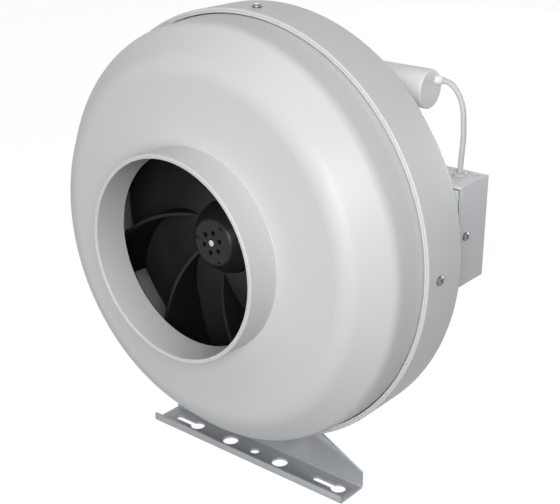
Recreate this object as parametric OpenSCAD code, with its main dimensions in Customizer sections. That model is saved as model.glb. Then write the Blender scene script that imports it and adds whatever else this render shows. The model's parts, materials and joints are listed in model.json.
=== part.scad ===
// Inline duct fan for round duct, standing on its folded foot.
// Air goes in at the front (-Y) and out at the back (+Y); +Z is up.
// The origin is on the underside of the foot, below the middle of the casing band.

/* [Casing] */
// Outside diameter of the casing band
band_d = 340; // [330:1:360]
// Height of the fan axis above the underside of the foot
axis_h = 203; // [200:1:225]
// Sheet thickness of both casings
sheet_t = 1.2; // [0.8:0.1:1.6]
// Length of the band, from its front edge to the bend at the back
band_w = 41.1; // [38:0.1:46]
// Depth of the rear casing, from the band's front edge to its flat back
rear_depth = 59.3; // [56:0.1:66]
// Radius of the bend between band and back slope
bend_r = 4; // [3:0.5:6]
// Radius between back slope and flat back
back_r = 10; // [6:0.5:14]
// Lean of the back slope, as the angle of its normal from the radius
back_lean = 52.4; // [48:0.1:60]
// Width of the rolled hem at the band's front edge
hem_w = 4.1; // [3.5:0.1:5]
// Depth of the rolled hem
hem_depth = 4; // [3.5:0.1:6]
// Rounding of the hem's front edges
hem_r = 1.5; // [0.8:0.1:1.7]
// Gap between the hem and the front casing
hem_gap = 0.4; // [0.3:0.1:0.8]

/* [Dome] */
// Depth of the dome, from the band's front edge to its flat face
dome_depth = 52.3; // [48:0.1:56]
// Radius of the shoulder, between the dome's side and its slope
shoulder_r = 12.1; // [8:0.1:16]
// Radius of the brow, between the slope and the flat face
brow_r = 24.1; // [18:0.1:30]
// Lean of the slope, as the angle of its normal from the axis
dome_lean = 46.2; // [42:0.1:50]
// Draft of the dome's side, as its lean from the axis
side_draft = 5.1; // [2:0.1:8]
// How far the edge of the flat face lies inside the skirt
slope_in = 37.4; // [34:0.1:42]
// How far the front casing's skirt reaches into the band
skirt_in = 23; // [20:0.5:28]

/* [Duct spigots] */
// Outside diameter of both spigots, which enter a 160 mm duct
spigot_d = 158; // [154:0.5:162]
// Length of the spigots beyond the casing
spigot_len = 27.7; // [24:0.1:40]
// Thickness of the rolled lip at the end of a spigot
lip_t = 4.2; // [2.6:0.1:5]
// How far the inlet's lining runs on behind the end of the straight tube
lining_back = 1.9; // [0:0.1:2.5]
// Radius at the root of a spigot
root_r = 1.5; // [1:0.1:3]

/* [Casing screws] */
// Thread diameter of the casing screws
casing_screw_d = 4; // [3:0.5:5]
// Head diameter of the casing screws
casing_head_d = 7.4; // [6.5:0.1:9]
// Length of the casing screws under the head
casing_screw_len = 12; // [10:0.5:16]
// How far the screws lie behind the band's front edge
casing_screw_back = 14.1; // [12:0.1:16]
// Radial clearance of a screw in its hole
screw_clear = 0.25; // [0.15:0.05:0.5]

/* [Foot] */
// How far the middle of the foot lies ahead of the middle of the band
foot_lead = 9.2; // [6:0.05:11]
// How far the middle of the foot lies to the right of the axis
foot_shift = 1; // [0:0.5:3]
// Length of the foot across the duct
foot_len = 203.6; // [190:0.2:220]
// Width of the foot along the duct
foot_w = 30.8; // [28:0.1:36]
// Sheet thickness of the foot
foot_t = 2; // [1.5:0.1:2.5]
// Height of the foot's short front lip
foot_lip_h = 7.6; // [5:0.1:10]
// Height of the foot's rear wall at its ends
foot_end_h = 15; // [10:0.5:20]
// Rise of the rear wall's slanted edge for each millimetre inwards
foot_slant = 0.5; // [0.4:0.05:0.7]
// Outside radius of the foot's bends
foot_bend_r = 3; // [2.5:0.1:5]
// Half width of the saddle that lies against the band
saddle_half = 38; // [30:1:45]
// Gap between saddle and band
saddle_gap = 0.3; // [0.2:0.1:0.6]
// How far the row of holes lies behind the foot's middle
hole_back = 0.15; // [-2:0.05:3]
// How far the middle of the hole row lies to the right of the foot's middle
hole_shift = 1; // [0:0.5:3]
// Distance between the two large holes
big_hole_pitch = 54.6; // [48:0.2:60]
// Diameter of the two large holes
big_hole_d = 13.6; // [10:0.1:15]
// Diameter of the middle hole
mid_hole_d = 8; // [6:0.1:10]
// Distance between the keyholes
keyhole_pitch = 153.4; // [146:0.2:156]
// Distance from a keyhole's round to the end of its slot
keyhole_run = 22; // [18:0.5:24]
// Diameter of a keyhole's round
keyhole_d = 12.2; // [10:0.1:14]
// Width of a keyhole's slot
keyhole_slot = 6.2; // [5:0.1:7]

/* [Impeller] */
// Outside diameter of the impeller
impeller_d = 248; // [230:1:262]
// Number of blades
blade_count = 7; // [5:1:11]
// Thickness of a blade
blade_t = 3; // [2:0.1:4]
// Radius of a blade's curve
blade_arc_r = 76; // [72:0.1:100]
// Angle that a blade turns through from hub to rim
blade_wrap = 48; // [40:0.1:55]
// Angle of the first blade's inner end, seen from the inlet
blade_phase = 160; // [0:1:359]
// How far the blades end inside the rim
blade_set_in = 0.6; // [0.3:0.1:2]
// Radius at which the blades leave the hub
blade_root_r = 31; // [30:0.5:36]
// Depth of the back plate's front face behind the band's front edge
plate_back = 0; // [-2:0.1:2]
// Thickness of the back plate and of the hub cone
plate_t = 2.5; // [2:0.1:3.5]
// Radius at which the hub cone meets the flat back plate
cone_r = 87; // [75:0.5:95]
// Height of the hub cone
cone_h = 17; // [14:0.5:19]
// Blade width at the rim
rim_w = 18; // [14:0.5:22]
// Inside diameter of the shroud's eye
eye_d = 178; // [172:0.5:184]
// Blade width at the eye
eye_w = 40.4; // [36:0.1:42]
// Length of the eye's collar
eye_len = 5; // [4:0.5:8]
// Thickness of the shroud
shroud_t = 2; // [1.5:0.1:3]

/* [Motor] */
// Outside diameter of the rotor cup
rotor_d = 92; // [86:0.5:98]
// Length of the rotor cup behind its front wall
rotor_len = 36; // [33:0.5:40]
// Wall thickness of the rotor cup
rotor_t = 2.5; // [2:0.1:3.5]
// Diameter of the rotor's nose at its face
nose_d = 39; // [34:0.5:42]
// Diameter of the rotor's nose at its root
nose_root_d = 55.4; // [50:0.2:57]
// Length of the nose's cylindrical root
nose_root_len = 12.2; // [10:0.1:14]
// Length of the nose's tapered part
nose_taper_len = 12.4; // [10:0.1:15]
// Rounding of the nose's edge
nose_round = 3; // [1.5:0.1:4]
// Thickness of the nose's face
nose_face_t = 2.8; // [2:0.1:4]
// Shaft diameter in the bearings
shaft_d = 8; // [6:0.5:10]
// Diameter of the shaft's end, which shows in the nose
shaft_tip_d = 4.8; // [3:0.1:5]
// Radial clearance of the shaft in its bearings
shaft_run = 0.05; // [0.02:0.01:0.1]
// Outside diameter of the bearings
bearing_d = 22; // [19:0.5:24]
// Width of the bearings
bearing_w = 7; // [6:0.5:8]
// Distance between the bearings
bearing_gap = 18; // [14:0.5:20]
// Wall thickness of the bearing tube
tube_t = 2.5; // [2:0.1:3]
// Outside diameter of the stator
stator_d = 62; // [56:0.5:66]
// Stack length of the stator and the rotor core
stack_len = 18; // [14:0.5:20]
// Air gap between stator and rotor core
air_gap = 0.6; // [0.4:0.1:1]
// Length of the winding ends beyond the stack
winding_len = 6.2; // [5:0.1:6.5]
// Clearance of pieces that are pressed or glued together
seat_gap = 0.05; // [0.02:0.01:0.1]
// Diameter of the motor flange
flange_d = 84; // [76:0.5:86]
// Thickness of the motor flange
flange_t = 5.2; // [4:0.1:7]

/* [Motor support] */
// Sheet thickness of the support spider
support_t = 2; // [1.5:0.1:3]
// Width of a support arm
arm_w = 16; // [12:0.5:20]
// Radius at which the arms turn back to the casing
arm_r = 100; // [96:0.5:104]
// Length of the feet on the casing
arm_foot = 18; // [15:0.5:20]
// Thread diameter of the support's screws
support_screw_d = 5; // [4:0.5:6]
// Length of the support's screws under the head
support_screw_len = 9; // [8:0.5:12]

/* [Terminal box] */
// How far the box's outer face lies inside the band's outline
box_inset = 12.4; // [8:0.2:16]
// Width of the box across the duct
box_w = 65.6; // [62:0.2:68]
// Depth of the box behind the casing
box_depth = 38.3; // [36:0.1:44]
// Height of the box
box_h = 78.3; // [74:0.1:84]
// Height of the box's middle above the fan axis
box_rise = 14; // [8:0.5:18]
// Sheet thickness of the box
box_t = 1; // [0.8:0.1:1.5]
// Gap between base and cover
box_gap = 0.2; // [0.1:0.05:0.4]
// How far the cover screw lies behind the casing
cover_screw_back = 8.3; // [7:0.1:10]
// How far the lead's grommet lies in from the box's outer face
lead_in = 17.3; // [15:0.1:20]
// How far the lead's grommet lies behind the casing
lead_back = 25.2; // [22:0.1:27]
// Thread diameter of the mains gland
gland_d = 16; // [14:0.5:18]
// Cable bore of the mains gland
gland_bore_d = 8; // [6:0.5:9]

/* [Capacitor] */
// Diameter of the capacitor
capacitor_d = 29; // [27:0.5:31]
// Length of the capacitor
capacitor_len = 70; // [60:0.5:76]
// How far the capacitor's outer end lies inside the band's outline
capacitor_inset = 52.5; // [48:0.1:58]
// How far the capacitor's axis lies below the top of the band
capacitor_drop = 54.7; // [50:0.1:60]
// Distance of the capacitor's axis behind the casing
capacitor_back = 16.3; // [15.9:0.1:18]
// Diameter of the capacitor's lead
lead_d = 4.2; // [3.6:0.1:4.4]
// Length of the boss that the lead leaves from
boss_len = 5; // [4:0.1:6]
// Clearance of a lead in its boss or grommet
lead_gap = 0.1; // [0.05:0.05:0.3]

/* [Hidden] */
$fn = 96;
// Small overrun that lets a cut pass right through
cut = 1;

// Colours
paint_grey = [0.75, 0.76, 0.76];
box_grey = [0.63, 0.64, 0.655];
zinc = [0.56, 0.58, 0.6];
black_plastic = [0.1, 0.1, 0.1];
rotor_grey = [0.2, 0.2, 0.21];
steel = [0.7, 0.7, 0.7];
copper = [0.7, 0.4, 0.2];
white_plastic = [0.88, 0.88, 0.88];

// Places along the fan axis
band_front = -band_w / 2;
dome_face = band_front - dome_depth;
back_face = band_front + rear_depth;
inlet_tip = dome_face - spigot_len;
outlet_tip = back_face + spigot_len;
skirt_end = band_front + skirt_in;
screw_y = band_front + casing_screw_back;

// Radii round the fan axis
band_r = band_d / 2;
band_in_r = band_r - sheet_t;
dome_r = band_r - hem_w - hem_gap;
spigot_r = spigot_d / 2;
// Angles of the casing screws, seen from the inlet; the last one also holds the foot
casing_screw_angles = [0, 88, 180, 268];

// Dome: the shoulder touches the straight slope and the side from inside
slope_normal = [sin(dome_lean), -cos(dome_lean)];
side_normal = [cos(side_draft), -sin(side_draft)];
brow_c = [dome_r - slope_in, dome_face + brow_r];
slope_off = brow_c * slope_normal + brow_r - shoulder_r;
side_off = [dome_r, band_front] * side_normal - shoulder_r;
shoulder_c = [
    side_off * cos(dome_lean) - slope_off * sin(side_draft),
    side_off * sin(dome_lean) - slope_off * cos(side_draft)
] / cos(dome_lean + side_draft);

// Back: the bend, the straight slope and the corner of the flat back
bend_c = [band_r - bend_r, band_front + band_w];
back_c_y = back_face - back_r;
slope_rise = back_c_y - bend_c[1] + (back_r - bend_r) * sin(back_lean);
back_c = [
    bend_c[0] + (bend_r - back_r) * cos(back_lean) - slope_rise * tan(back_lean),
    back_c_y
];

// Impeller, motor and support along the axis
plate_y = band_front + plate_back;
cone_tip_y = plate_y - cone_h;
cone_tip_r = nose_root_d / 2 + 0.6;
rotor_front = cone_tip_y + cone_h * (rotor_d / 2 - cone_tip_r) / (cone_r - cone_tip_r) + plate_t * 1.3;
rotor_back = rotor_front + rotor_len;
nose_tip = rotor_front - nose_root_len - nose_taper_len;
rotor_in_r = rotor_d / 2 - rotor_t;
tube_r = bearing_d / 2 + seat_gap + tube_t;
bearing_front = rotor_front + rotor_t + 3.5;
bearing_back = bearing_front + bearing_w + bearing_gap;
tube_front = bearing_front - cut;
stack_mid = bearing_front + bearing_w + bearing_gap / 2;
stack_front = stack_mid - stack_len / 2;
stack_back = stack_mid + stack_len / 2;
flange_front = max(rotor_back + 2.5, bearing_back + bearing_w, stack_back + winding_len + 0.5);
support_front = flange_front + flange_t;
support_back = support_front + support_t;
inner_back = back_face - sheet_t;
flange_screw_in = 8;
flange_screw_r = flange_d / 2 - flange_screw_in;
support_screw_r = arm_r + arm_foot / 2;

// Terminal box: out at the band's edge, and clear of the outlet spigot
box_clear = 6;
box_in = max(band_r - box_inset - box_w, spigot_r + box_clear);
box_out = box_in + box_w;
box_mid_x = (box_in + box_out) / 2;
box_mid_z = axis_h + box_rise;
box_bottom = box_mid_z - box_h / 2;
box_top = box_mid_z + box_h / 2;
box_rear = back_face + box_depth;
motor_lead_in = 10.4;
motor_lead_x = box_in + motor_lead_in;
lead_x = box_out - lead_in;
lead_y = back_face + lead_back;
gland_shift = 2;
gland_x = box_mid_x + gland_shift;
gland_y = back_face + box_depth / 2;

// Capacitor
capacitor_y = back_face + capacitor_back;
capacitor_z = axis_h + band_r - capacitor_drop;
capacitor_out = band_r - capacitor_inset;
capacitor_in = capacitor_out - capacitor_len;
clip_in = 10;
clip_mid_x = capacitor_in + clip_in;
clip_w = 16;
clip_t = 1.2;
boss_back = 8;
boss_rise = 5.5;
boss_y = capacitor_y + boss_back;
boss_z = capacitor_z + boss_rise;

// Route of the capacitor's lead, from the boss to inside the box: each pair is the share of the way
// across and the share of the way down
capacitor_way = [
    [0, 0], [0.28, 0], [0.5, 0.02], [0.69, 0.07], [0.83, 0.13], [0.93, 0.2], [1, 0.29],
    [1.03, 0.4], [1.05, 0.51], [1.05, 0.63], [1.03, 0.75], [1.01, 0.87], [1, 0.97], [1, 1.12]
];
capacitor_route = [
    for (way = capacitor_way) [
        capacitor_out + way[0] * (lead_x - capacitor_out),
        boss_y + min(way[1] / 0.97, 1) * (lead_y - boss_y),
        boss_z + way[1] * (box_top - boss_z)
    ]
];

// Route of the motor's lead, from the support plate through the back into the box
motor_exit_x = 22;
motor_way_back = 8;
motor_way_y = support_back + motor_way_back;
motor_way_x = motor_lead_x - motor_exit_x;
motor_bend = 8;
motor_end = 12;
motor_route = [
    [motor_exit_x, support_back, box_mid_z],
    [motor_exit_x, motor_way_y - motor_bend * 0.5, box_mid_z],
    [motor_exit_x + motor_bend * 0.375, motor_way_y - motor_bend * 0.125, box_mid_z],
    for (share = [0.15 : 0.14 : 0.86]) [motor_exit_x + share * motor_way_x, motor_way_y, box_mid_z],
    [motor_lead_x - motor_bend * 0.5, motor_way_y + motor_bend * 0.125, box_mid_z],
    [motor_lead_x - motor_bend * 0.1, motor_way_y + motor_bend * 0.5625, box_mid_z],
    [motor_lead_x, motor_way_y + motor_bend * 1.125, box_mid_z],
    [motor_lead_x, back_face + motor_end * 0.3333, box_mid_z],
    [motor_lead_x, back_face + motor_end, box_mid_z]
];

// Turns a shape whose axis is Z so that it lies along the fan axis, with Z to the back
module on_axis() {
    translate([0, 0, axis_h]) rotate([-90, 0, 0]) children();
}

// Copies of a shape round the fan axis, at angles seen from the inlet
module around(angles) {
    for (a = angles) rotate([0, 0, -a]) children();
}

// Pan head screw or rivet: the head stands on Z = 0, the shank goes down
module pan_screw(d, head_d, head_h, length, recess = true) {
    dome_h = head_h * 0.45;
    ball_r = (pow(head_d / 2, 2) + dome_h * dome_h) / (2 * dome_h);
    difference() {
        union() {
            cylinder(d = head_d, h = head_h - dome_h);
            intersection() {
                translate([0, 0, head_h - ball_r]) sphere(r = ball_r);
                translate([0, 0, head_h - dome_h]) cylinder(d = head_d, h = dome_h + cut);
            }
            translate([0, 0, -length]) cylinder(d = d, h = length);
        }
        if (recess) {
            for (turn = [0, 90]) rotate([0, 0, turn])
                translate([-head_d * 0.3, -head_d * 0.07, head_h * 0.45])
                    cube([head_d * 0.6, head_d * 0.14, head_h]);
        }
    }
}

// Sweep of a round lead along its route
function unit(v) = v / norm(v);
function route_dir(route, i) =
    i == 0 ? unit(route[1] - route[0])
    : i == len(route) - 1 ? unit(route[i] - route[i - 1])
    : unit(unit(route[i] - route[i - 1]) + unit(route[i + 1] - route[i]));
function side_of(dir, last) = unit(last - dir * (dir * last));
function sides(route, i, last) =
    i == len(route) ? []
    : let (s = side_of(route_dir(route, i), last)) concat([s], sides(route, i + 1, s));

module lead(route, d, facets) {
    side_list = sides(route, 0, [0.3, 0.5, 0.8]);
    rings = len(route);
    points = [
        for (i = [0 : rings - 1], k = [0 : facets - 1])
            let (u = side_list[i], v = cross(route_dir(route, i), u), a = 360 * k / facets)
                route[i] + d / 2 * (cos(a) * u + sin(a) * v)
    ];
    walls = [
        for (i = [0 : rings - 2], k = [0 : facets - 1], half = [0, 1])
            let (n = (k + 1) % facets, a = i * facets, b = (i + 1) * facets)
                half == 0 ? [a + k, b + k, b + n] : [a + k, b + n, a + n]
    ];
    first = [for (k = [1 : facets - 2]) [0, k, k + 1]];
    last_ring = (rings - 1) * facets;
    last = [for (k = [1 : facets - 2]) [last_ring, last_ring + k + 1, last_ring + k]];
    polyhedron(points = points, faces = concat(walls, first, last));
}

// Section of the dome with its skirt, filled to the axis and set in by a wall
module dome_section(inset, skirt) {
    polygon([
        [0, skirt], [dome_r - inset, skirt], [dome_r - inset, band_front + inset * tan(side_draft / 2)],
        shoulder_c + (shoulder_r - inset) * side_normal, shoulder_c + (shoulder_r - inset) * slope_normal,
        brow_c + (brow_r - inset) * slope_normal, [brow_c[0], dome_face + inset], [0, dome_face + inset]
    ]);
    translate(shoulder_c) circle(r = shoulder_r - inset);
    translate(brow_c) circle(r = brow_r - inset);
}

// Section of the rear casing, filled to the axis and set in by a wall
module pan_section(inset, front) {
    normal = [cos(back_lean), sin(back_lean)];
    polygon([
        [0, front], [band_r - inset, front], [band_r - inset, bend_c[1]],
        bend_c + (bend_r - inset) * normal, back_c + (back_r - inset) * normal,
        [back_c[0], back_face - inset], [0, back_face - inset]
    ]);
    translate(bend_c) circle(r = bend_r - inset);
    translate(back_c) circle(r = back_r - inset);
}

// Section of a spigot whose flare lies in a sheet on Z = 0 and whose tube points to -Z, with its rolled lip
// and, where asked for, a lining that runs back from the lip inside the tube
module spigot_section(lined = false) {
    tube_in = spigot_r - sheet_t;
    flare_r = spigot_r + root_r;
    translate([tube_in, -spigot_len + lip_t / 2]) square([sheet_t, spigot_len - lip_t / 2 - root_r]);
    translate([spigot_r - lip_t / 2, -spigot_len + lip_t / 2]) circle(d = lip_t);
    if (lined) translate([spigot_r - lip_t, -spigot_len + lip_t / 2])
        square([sheet_t, spigot_len - lip_t / 2 + lining_back - root_r]);
    intersection() {
        translate([flare_r, -root_r]) difference() {
            circle(r = root_r + sheet_t);
            circle(r = root_r);
        }
        translate([tube_in, -root_r]) square([root_r + sheet_t, root_r + sheet_t]);
    }
}

// Round opening in a casing sheet that a spigot's flare is welded into
module flare_opening() {
    translate([0, -cut]) square([spigot_r + root_r + seat_gap, sheet_t + 2 * cut]);
}

module casing_screw_holes(d, reach_in, reach_out) {
    around(casing_screw_angles) translate([reach_in, 0, screw_y]) rotate([0, 90, 0])
        cylinder(d = d, h = reach_out - reach_in);
}

module front_casing() {
    color(paint_grey) on_axis() difference() {
        rotate_extrude() {
            difference() {
                dome_section(0, skirt_end);
                dome_section(sheet_t, skirt_end + cut);
                translate([0, dome_face]) flare_opening();
            }
        }
        casing_screw_holes(casing_screw_d + 2 * screw_clear, dome_r - 5, dome_r + 5);
    }
}

module inlet_spigot() {
    color(paint_grey) on_axis() translate([0, 0, dome_face]) rotate_extrude() spigot_section(true);
}

module outlet_spigot() {
    color(paint_grey) on_axis() translate([0, 0, back_face]) rotate_extrude() mirror([0, 1]) spigot_section();
}

// Rolled hem round the band's front edge
module hem_section() {
    translate([band_r - hem_w, band_front + hem_r]) square([hem_w, hem_depth - hem_r]);
    translate([band_r - hem_w + hem_r, band_front]) square([hem_w - 2 * hem_r, hem_depth]);
    for (r = [band_r - hem_w + hem_r, band_r - hem_r])
        translate([r, band_front + hem_r]) circle(r = hem_r);
}

// Rivets that hold the box to the casing, their places as [x, height above the axis]
rivet_spread = 61;
rivet_out = 18;
rivet_d = 4;
rivet_places = [
    [motor_lead_x, box_rise - rivet_spread / 2],
    [motor_lead_x, box_rise + rivet_spread / 2],
    [motor_lead_x + rivet_out, box_rise - rivet_spread / 2]
];
clip_screw_drop = 8;
clip_screw_z = capacitor_z - capacitor_d / 2 - clip_screw_drop;
clip_screw_d = 4;
clip_screw_len = 7;
grommet_d = 10;

module rear_casing() {
    color(paint_grey) difference() {
        on_axis() difference() {
            rotate_extrude() {
                difference() {
                    pan_section(0, band_front + hem_depth / 2);
                    pan_section(sheet_t, band_front);
                    translate([0, back_face]) mirror([0, 1]) flare_opening();
                }
                hem_section();
            }
            casing_screw_holes(casing_screw_d + 2 * screw_clear, band_r - 4, band_r + 4);
            around([45 : 90 : 315]) translate([support_screw_r, 0, inner_back - cut])
                cylinder(d = support_screw_d + 2 * screw_clear, h = sheet_t + 2 * cut);
        }
        through_back(motor_lead_x, box_rise, grommet_d);
        for (p = rivet_places) through_back(p[0], p[1], rivet_d + 2 * screw_clear);
        through_back(clip_mid_x, clip_screw_z - axis_h, clip_screw_d + 2 * screw_clear);
    }
}

// Round hole through the flat back, at a place given from the fan axis
module through_back(x, rise, d) {
    translate([x, inner_back - cut, axis_h + rise]) rotate([-90, 0, 0])
        cylinder(d = d, h = sheet_t + box_t + 2 * cut);
}

module casing_screws() {
    seats = [band_r, band_r, band_r, band_r + saddle_gap + foot_t];
    color(steel) on_axis() for (i = [0 : 3])
        around([casing_screw_angles[i]]) translate([seats[i], 0, screw_y]) rotate([0, 90, 0])
            pan_screw(casing_screw_d, casing_head_d, casing_head_d * 0.36, casing_screw_len);
}

module casing_clip_nuts() {
    nut_w = 14;
    nut_l = 12;
    nut_gap = 0.1;
    inner = dome_r + nut_gap;
    outer = sqrt(pow(band_in_r - nut_gap, 2) - pow(nut_w / 2, 2));
    color(zinc) on_axis() difference() {
        around(casing_screw_angles) translate([inner, -nut_w / 2, screw_y - nut_l / 2])
            cube([outer - inner, nut_w, nut_l]);
        casing_screw_holes(casing_screw_d + 2 * seat_gap, dome_r - 5, band_r + 5);
    }
}

// Cross section of the foot: front lip, plate and rear wall with rounded bends
module foot_section(wall_top) {
    half = foot_w / 2;
    bend_in = foot_bend_r - foot_t;
    for (side = [-1, 1]) {
        top = side < 0 ? foot_lip_h : wall_top;
        edge = side < 0 ? -half : half - foot_t;
        translate([edge, foot_bend_r]) square([foot_t, top - foot_bend_r]);
        intersection() {
            translate([side * (half - foot_bend_r), foot_bend_r]) difference() {
                circle(r = foot_bend_r);
                circle(r = bend_in);
            }
            translate([side < 0 ? -half : half - foot_bend_r, 0]) square(foot_bend_r);
        }
    }
    translate([-half + foot_bend_r, 0]) square([foot_w - 2 * foot_bend_r, foot_t]);
}

module foot_holes() {
    translate([foot_shift + hole_shift, hole_back - foot_lead, -cut]) {
        for (side = [-1, 1]) {
            translate([side * big_hole_pitch / 2, 0]) cylinder(d = big_hole_d, h = foot_t + 2 * cut);
            translate([side * keyhole_pitch / 2 + keyhole_run / 2, 0]) {
                cylinder(d = keyhole_d, h = foot_t + 2 * cut);
                translate([-keyhole_run, 0]) cylinder(d = keyhole_slot, h = foot_t + 2 * cut);
                translate([-keyhole_run, -keyhole_slot / 2])
                    cube([keyhole_run, keyhole_slot, foot_t + 2 * cut]);
            }
        }
        cylinder(d = mid_hole_d, h = foot_t + 2 * cut);
    }
}

module mounting_foot() {
    saddle_r = band_r + saddle_gap;
    half = foot_len / 2;
    wall_top = axis_h - saddle_r * cos(asin(half / saddle_r)) + foot_t;
    peak = foot_end_h + foot_slant * half;
    saddle_reach = 9;
    saddle_front = screw_y - saddle_reach;
    foot_back = foot_w / 2 - foot_lead;
    color(zinc) difference() {
        union() {
            translate([foot_shift, -foot_lead, 0]) intersection() {
                rotate([90, 0, 90]) translate([0, 0, -half]) linear_extrude(foot_len) foot_section(wall_top);
                rotate([90, 0, 0]) translate([0, 0, -foot_w]) linear_extrude(2 * foot_w) polygon([
                    [-half, 0], [half, 0], [half, foot_end_h], [0, peak], [-half, foot_end_h]
                ]);
            }
            intersection() {
                on_axis() translate([0, 0, saddle_front])
                    cylinder(r = saddle_r + foot_t, h = foot_back - saddle_front);
                translate([-saddle_half, -foot_w * 2, 0]) cube([2 * saddle_half, 4 * foot_w, axis_h / 2]);
            }
        }
        on_axis() translate([0, 0, -2 * foot_w]) cylinder(r = saddle_r, h = 4 * foot_w);
        on_axis() around([casing_screw_angles[3]]) translate([band_r, 0, screw_y]) rotate([0, 90, 0])
            cylinder(d = casing_screw_d + 2 * screw_clear, h = 3 * foot_t, center = true);
        foot_holes();
    }
}

module motor_support() {
    color(zinc) on_axis() difference() {
        union() {
            translate([0, 0, support_front]) cylinder(d = flange_d + 4, h = support_t);
            around([45 : 90 : 315]) translate([0, -arm_w / 2, 0]) {
                translate([0, 0, support_front]) cube([arm_r, arm_w, support_t]);
                translate([arm_r - support_t, 0, support_front])
                    cube([support_t, arm_w, inner_back - support_front]);
                translate([arm_r - support_t, 0, inner_back - support_t])
                    cube([arm_foot + support_t, arm_w, support_t]);
            }
        }
        translate([0, 0, support_front - cut]) cylinder(d = bearing_d - 4, h = support_t + 2 * cut);
        around([0 : 90 : 270]) translate([flange_screw_r, 0, support_front - cut])
            cylinder(d = casing_screw_d + 2 * screw_clear, h = support_t + 2 * cut);
        around([45 : 90 : 315]) translate([support_screw_r, 0, inner_back - support_t - cut])
            cylinder(d = support_screw_d + 2 * screw_clear, h = support_t + 2 * cut);
    }
}

module motor_support_screws() {
    color(steel) on_axis() around([45 : 90 : 315]) translate([support_screw_r, 0, back_face])
        pan_screw(support_screw_d, support_screw_d * 1.8, support_screw_d * 0.6, support_screw_len);
}

module motor_support_nuts() {
    nut_h = support_screw_d * 0.8;
    color(steel) on_axis() around([45 : 90 : 315])
        translate([support_screw_r, 0, inner_back - support_t - nut_h]) difference() {
            cylinder(d = support_screw_d * 1.8, h = nut_h, $fn = 6);
            translate([0, 0, -cut]) cylinder(d = support_screw_d + 2 * seat_gap, h = nut_h + 2 * cut);
        }
}

module motor_flange() {
    bearing_seat = bearing_d + 2 * seat_gap;
    color("silver") on_axis() difference() {
        union() {
            translate([0, 0, flange_front]) cylinder(d = flange_d, h = flange_t);
            translate([0, 0, tube_front]) cylinder(r = tube_r, h = flange_front - tube_front + cut);
        }
        translate([0, 0, tube_front - cut])
            cylinder(d = bearing_seat, h = bearing_front + bearing_w - tube_front + cut);
        translate([0, 0, bearing_back]) cylinder(d = bearing_seat, h = support_front - bearing_back + cut);
        translate([0, 0, tube_front]) cylinder(d = bearing_d - 5, h = support_front - tube_front);
        around([0 : 90 : 270]) translate([flange_screw_r, 0, support_front - flange_t + cut])
            cylinder(d = casing_screw_d + 2 * seat_gap, h = flange_t);
    }
}

module motor_flange_screws() {
    color(steel) on_axis() around([0 : 90 : 270]) translate([flange_screw_r, 0, support_back])
        pan_screw(casing_screw_d, casing_head_d, casing_head_d * 0.36, support_t + flange_t - 2 * cut);
}

module stator_core() {
    slots = 12;
    slot_w = 4;
    slot_r = tube_r + 5;
    color("gray") on_axis() translate([0, 0, stack_front]) difference() {
        cylinder(d = stator_d, h = stack_len);
        translate([0, 0, -cut]) cylinder(r = tube_r + seat_gap, h = stack_len + 2 * cut);
        around([0 : 360 / slots : 359]) translate([slot_r, -slot_w / 2, -cut])
            cube([stator_d / 2, slot_w, stack_len + 2 * cut]);
    }
}

// Winding ends as two smooth rings against the faces of the stack
module stator_windings() {
    ring_in = tube_r + 4;
    ring_out = stator_d / 2 - 2;
    color(copper) on_axis() for (y = [stack_front - winding_len, stack_back])
        translate([0, 0, y]) rotate_extrude() {
            end_r = winding_len / 2;
            translate([ring_in + end_r, 0]) square([ring_out - ring_in - winding_len, winding_len]);
            for (r = [ring_in + end_r, ring_out - end_r]) translate([r, end_r]) circle(r = end_r);
        }
}

// Ball bearing: inner and outer ring with the balls' groove between the faces
module bearing(y) {
    groove = 0.6;
    ring_w = (bearing_d - shaft_d) / 6;
    color("silver") on_axis() translate([0, 0, y]) difference() {
        cylinder(d = bearing_d, h = bearing_w);
        translate([0, 0, -cut]) cylinder(d = shaft_d + 2 * shaft_run, h = bearing_w + 2 * cut);
        for (z = [-cut, bearing_w - groove]) translate([0, 0, z]) difference() {
            cylinder(d = bearing_d - 2 * ring_w, h = groove + cut);
            translate([0, 0, -cut]) cylinder(d = shaft_d + 2 * ring_w, h = groove + 3 * cut);
        }
    }
}

module front_bearing() {
    bearing(bearing_front);
}

module rear_bearing() {
    bearing(bearing_back);
}

// The shaft ends flush with the support plate; its thin tip shows in the nose
circlip_t = 1;
circlip_y = bearing_back + bearing_w + 0.5;
shaft_end = circlip_y + circlip_t + 1.5;
shaft_step = nose_tip + nose_face_t;
groove_d = shaft_d - 1.2;

module rotor_shaft() {
    tip_proud = 0.4;
    color(white_plastic) on_axis() difference() {
        union() {
            translate([0, 0, nose_tip - tip_proud])
                cylinder(d = shaft_tip_d, h = shaft_step - nose_tip + 2 * cut);
            translate([0, 0, shaft_step]) cylinder(d = shaft_d, h = shaft_end - shaft_step);
        }
        translate([0, 0, circlip_y - seat_gap]) difference() {
            cylinder(d = shaft_d + cut, h = circlip_t + 2 * seat_gap);
            translate([0, 0, -cut]) cylinder(d = groove_d, h = circlip_t + 3 * cut);
        }
    }
}

module shaft_circlip() {
    gap_w = 3;
    color(steel) on_axis() translate([0, 0, circlip_y]) difference() {
        cylinder(d = shaft_d + 4, h = circlip_t);
        translate([0, 0, -cut]) cylinder(d = groove_d + 2 * seat_gap, h = circlip_t + 2 * cut);
        translate([0, -gap_w / 2, -cut]) cube([shaft_d, gap_w, circlip_t + 2 * cut]);
    }
}

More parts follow.
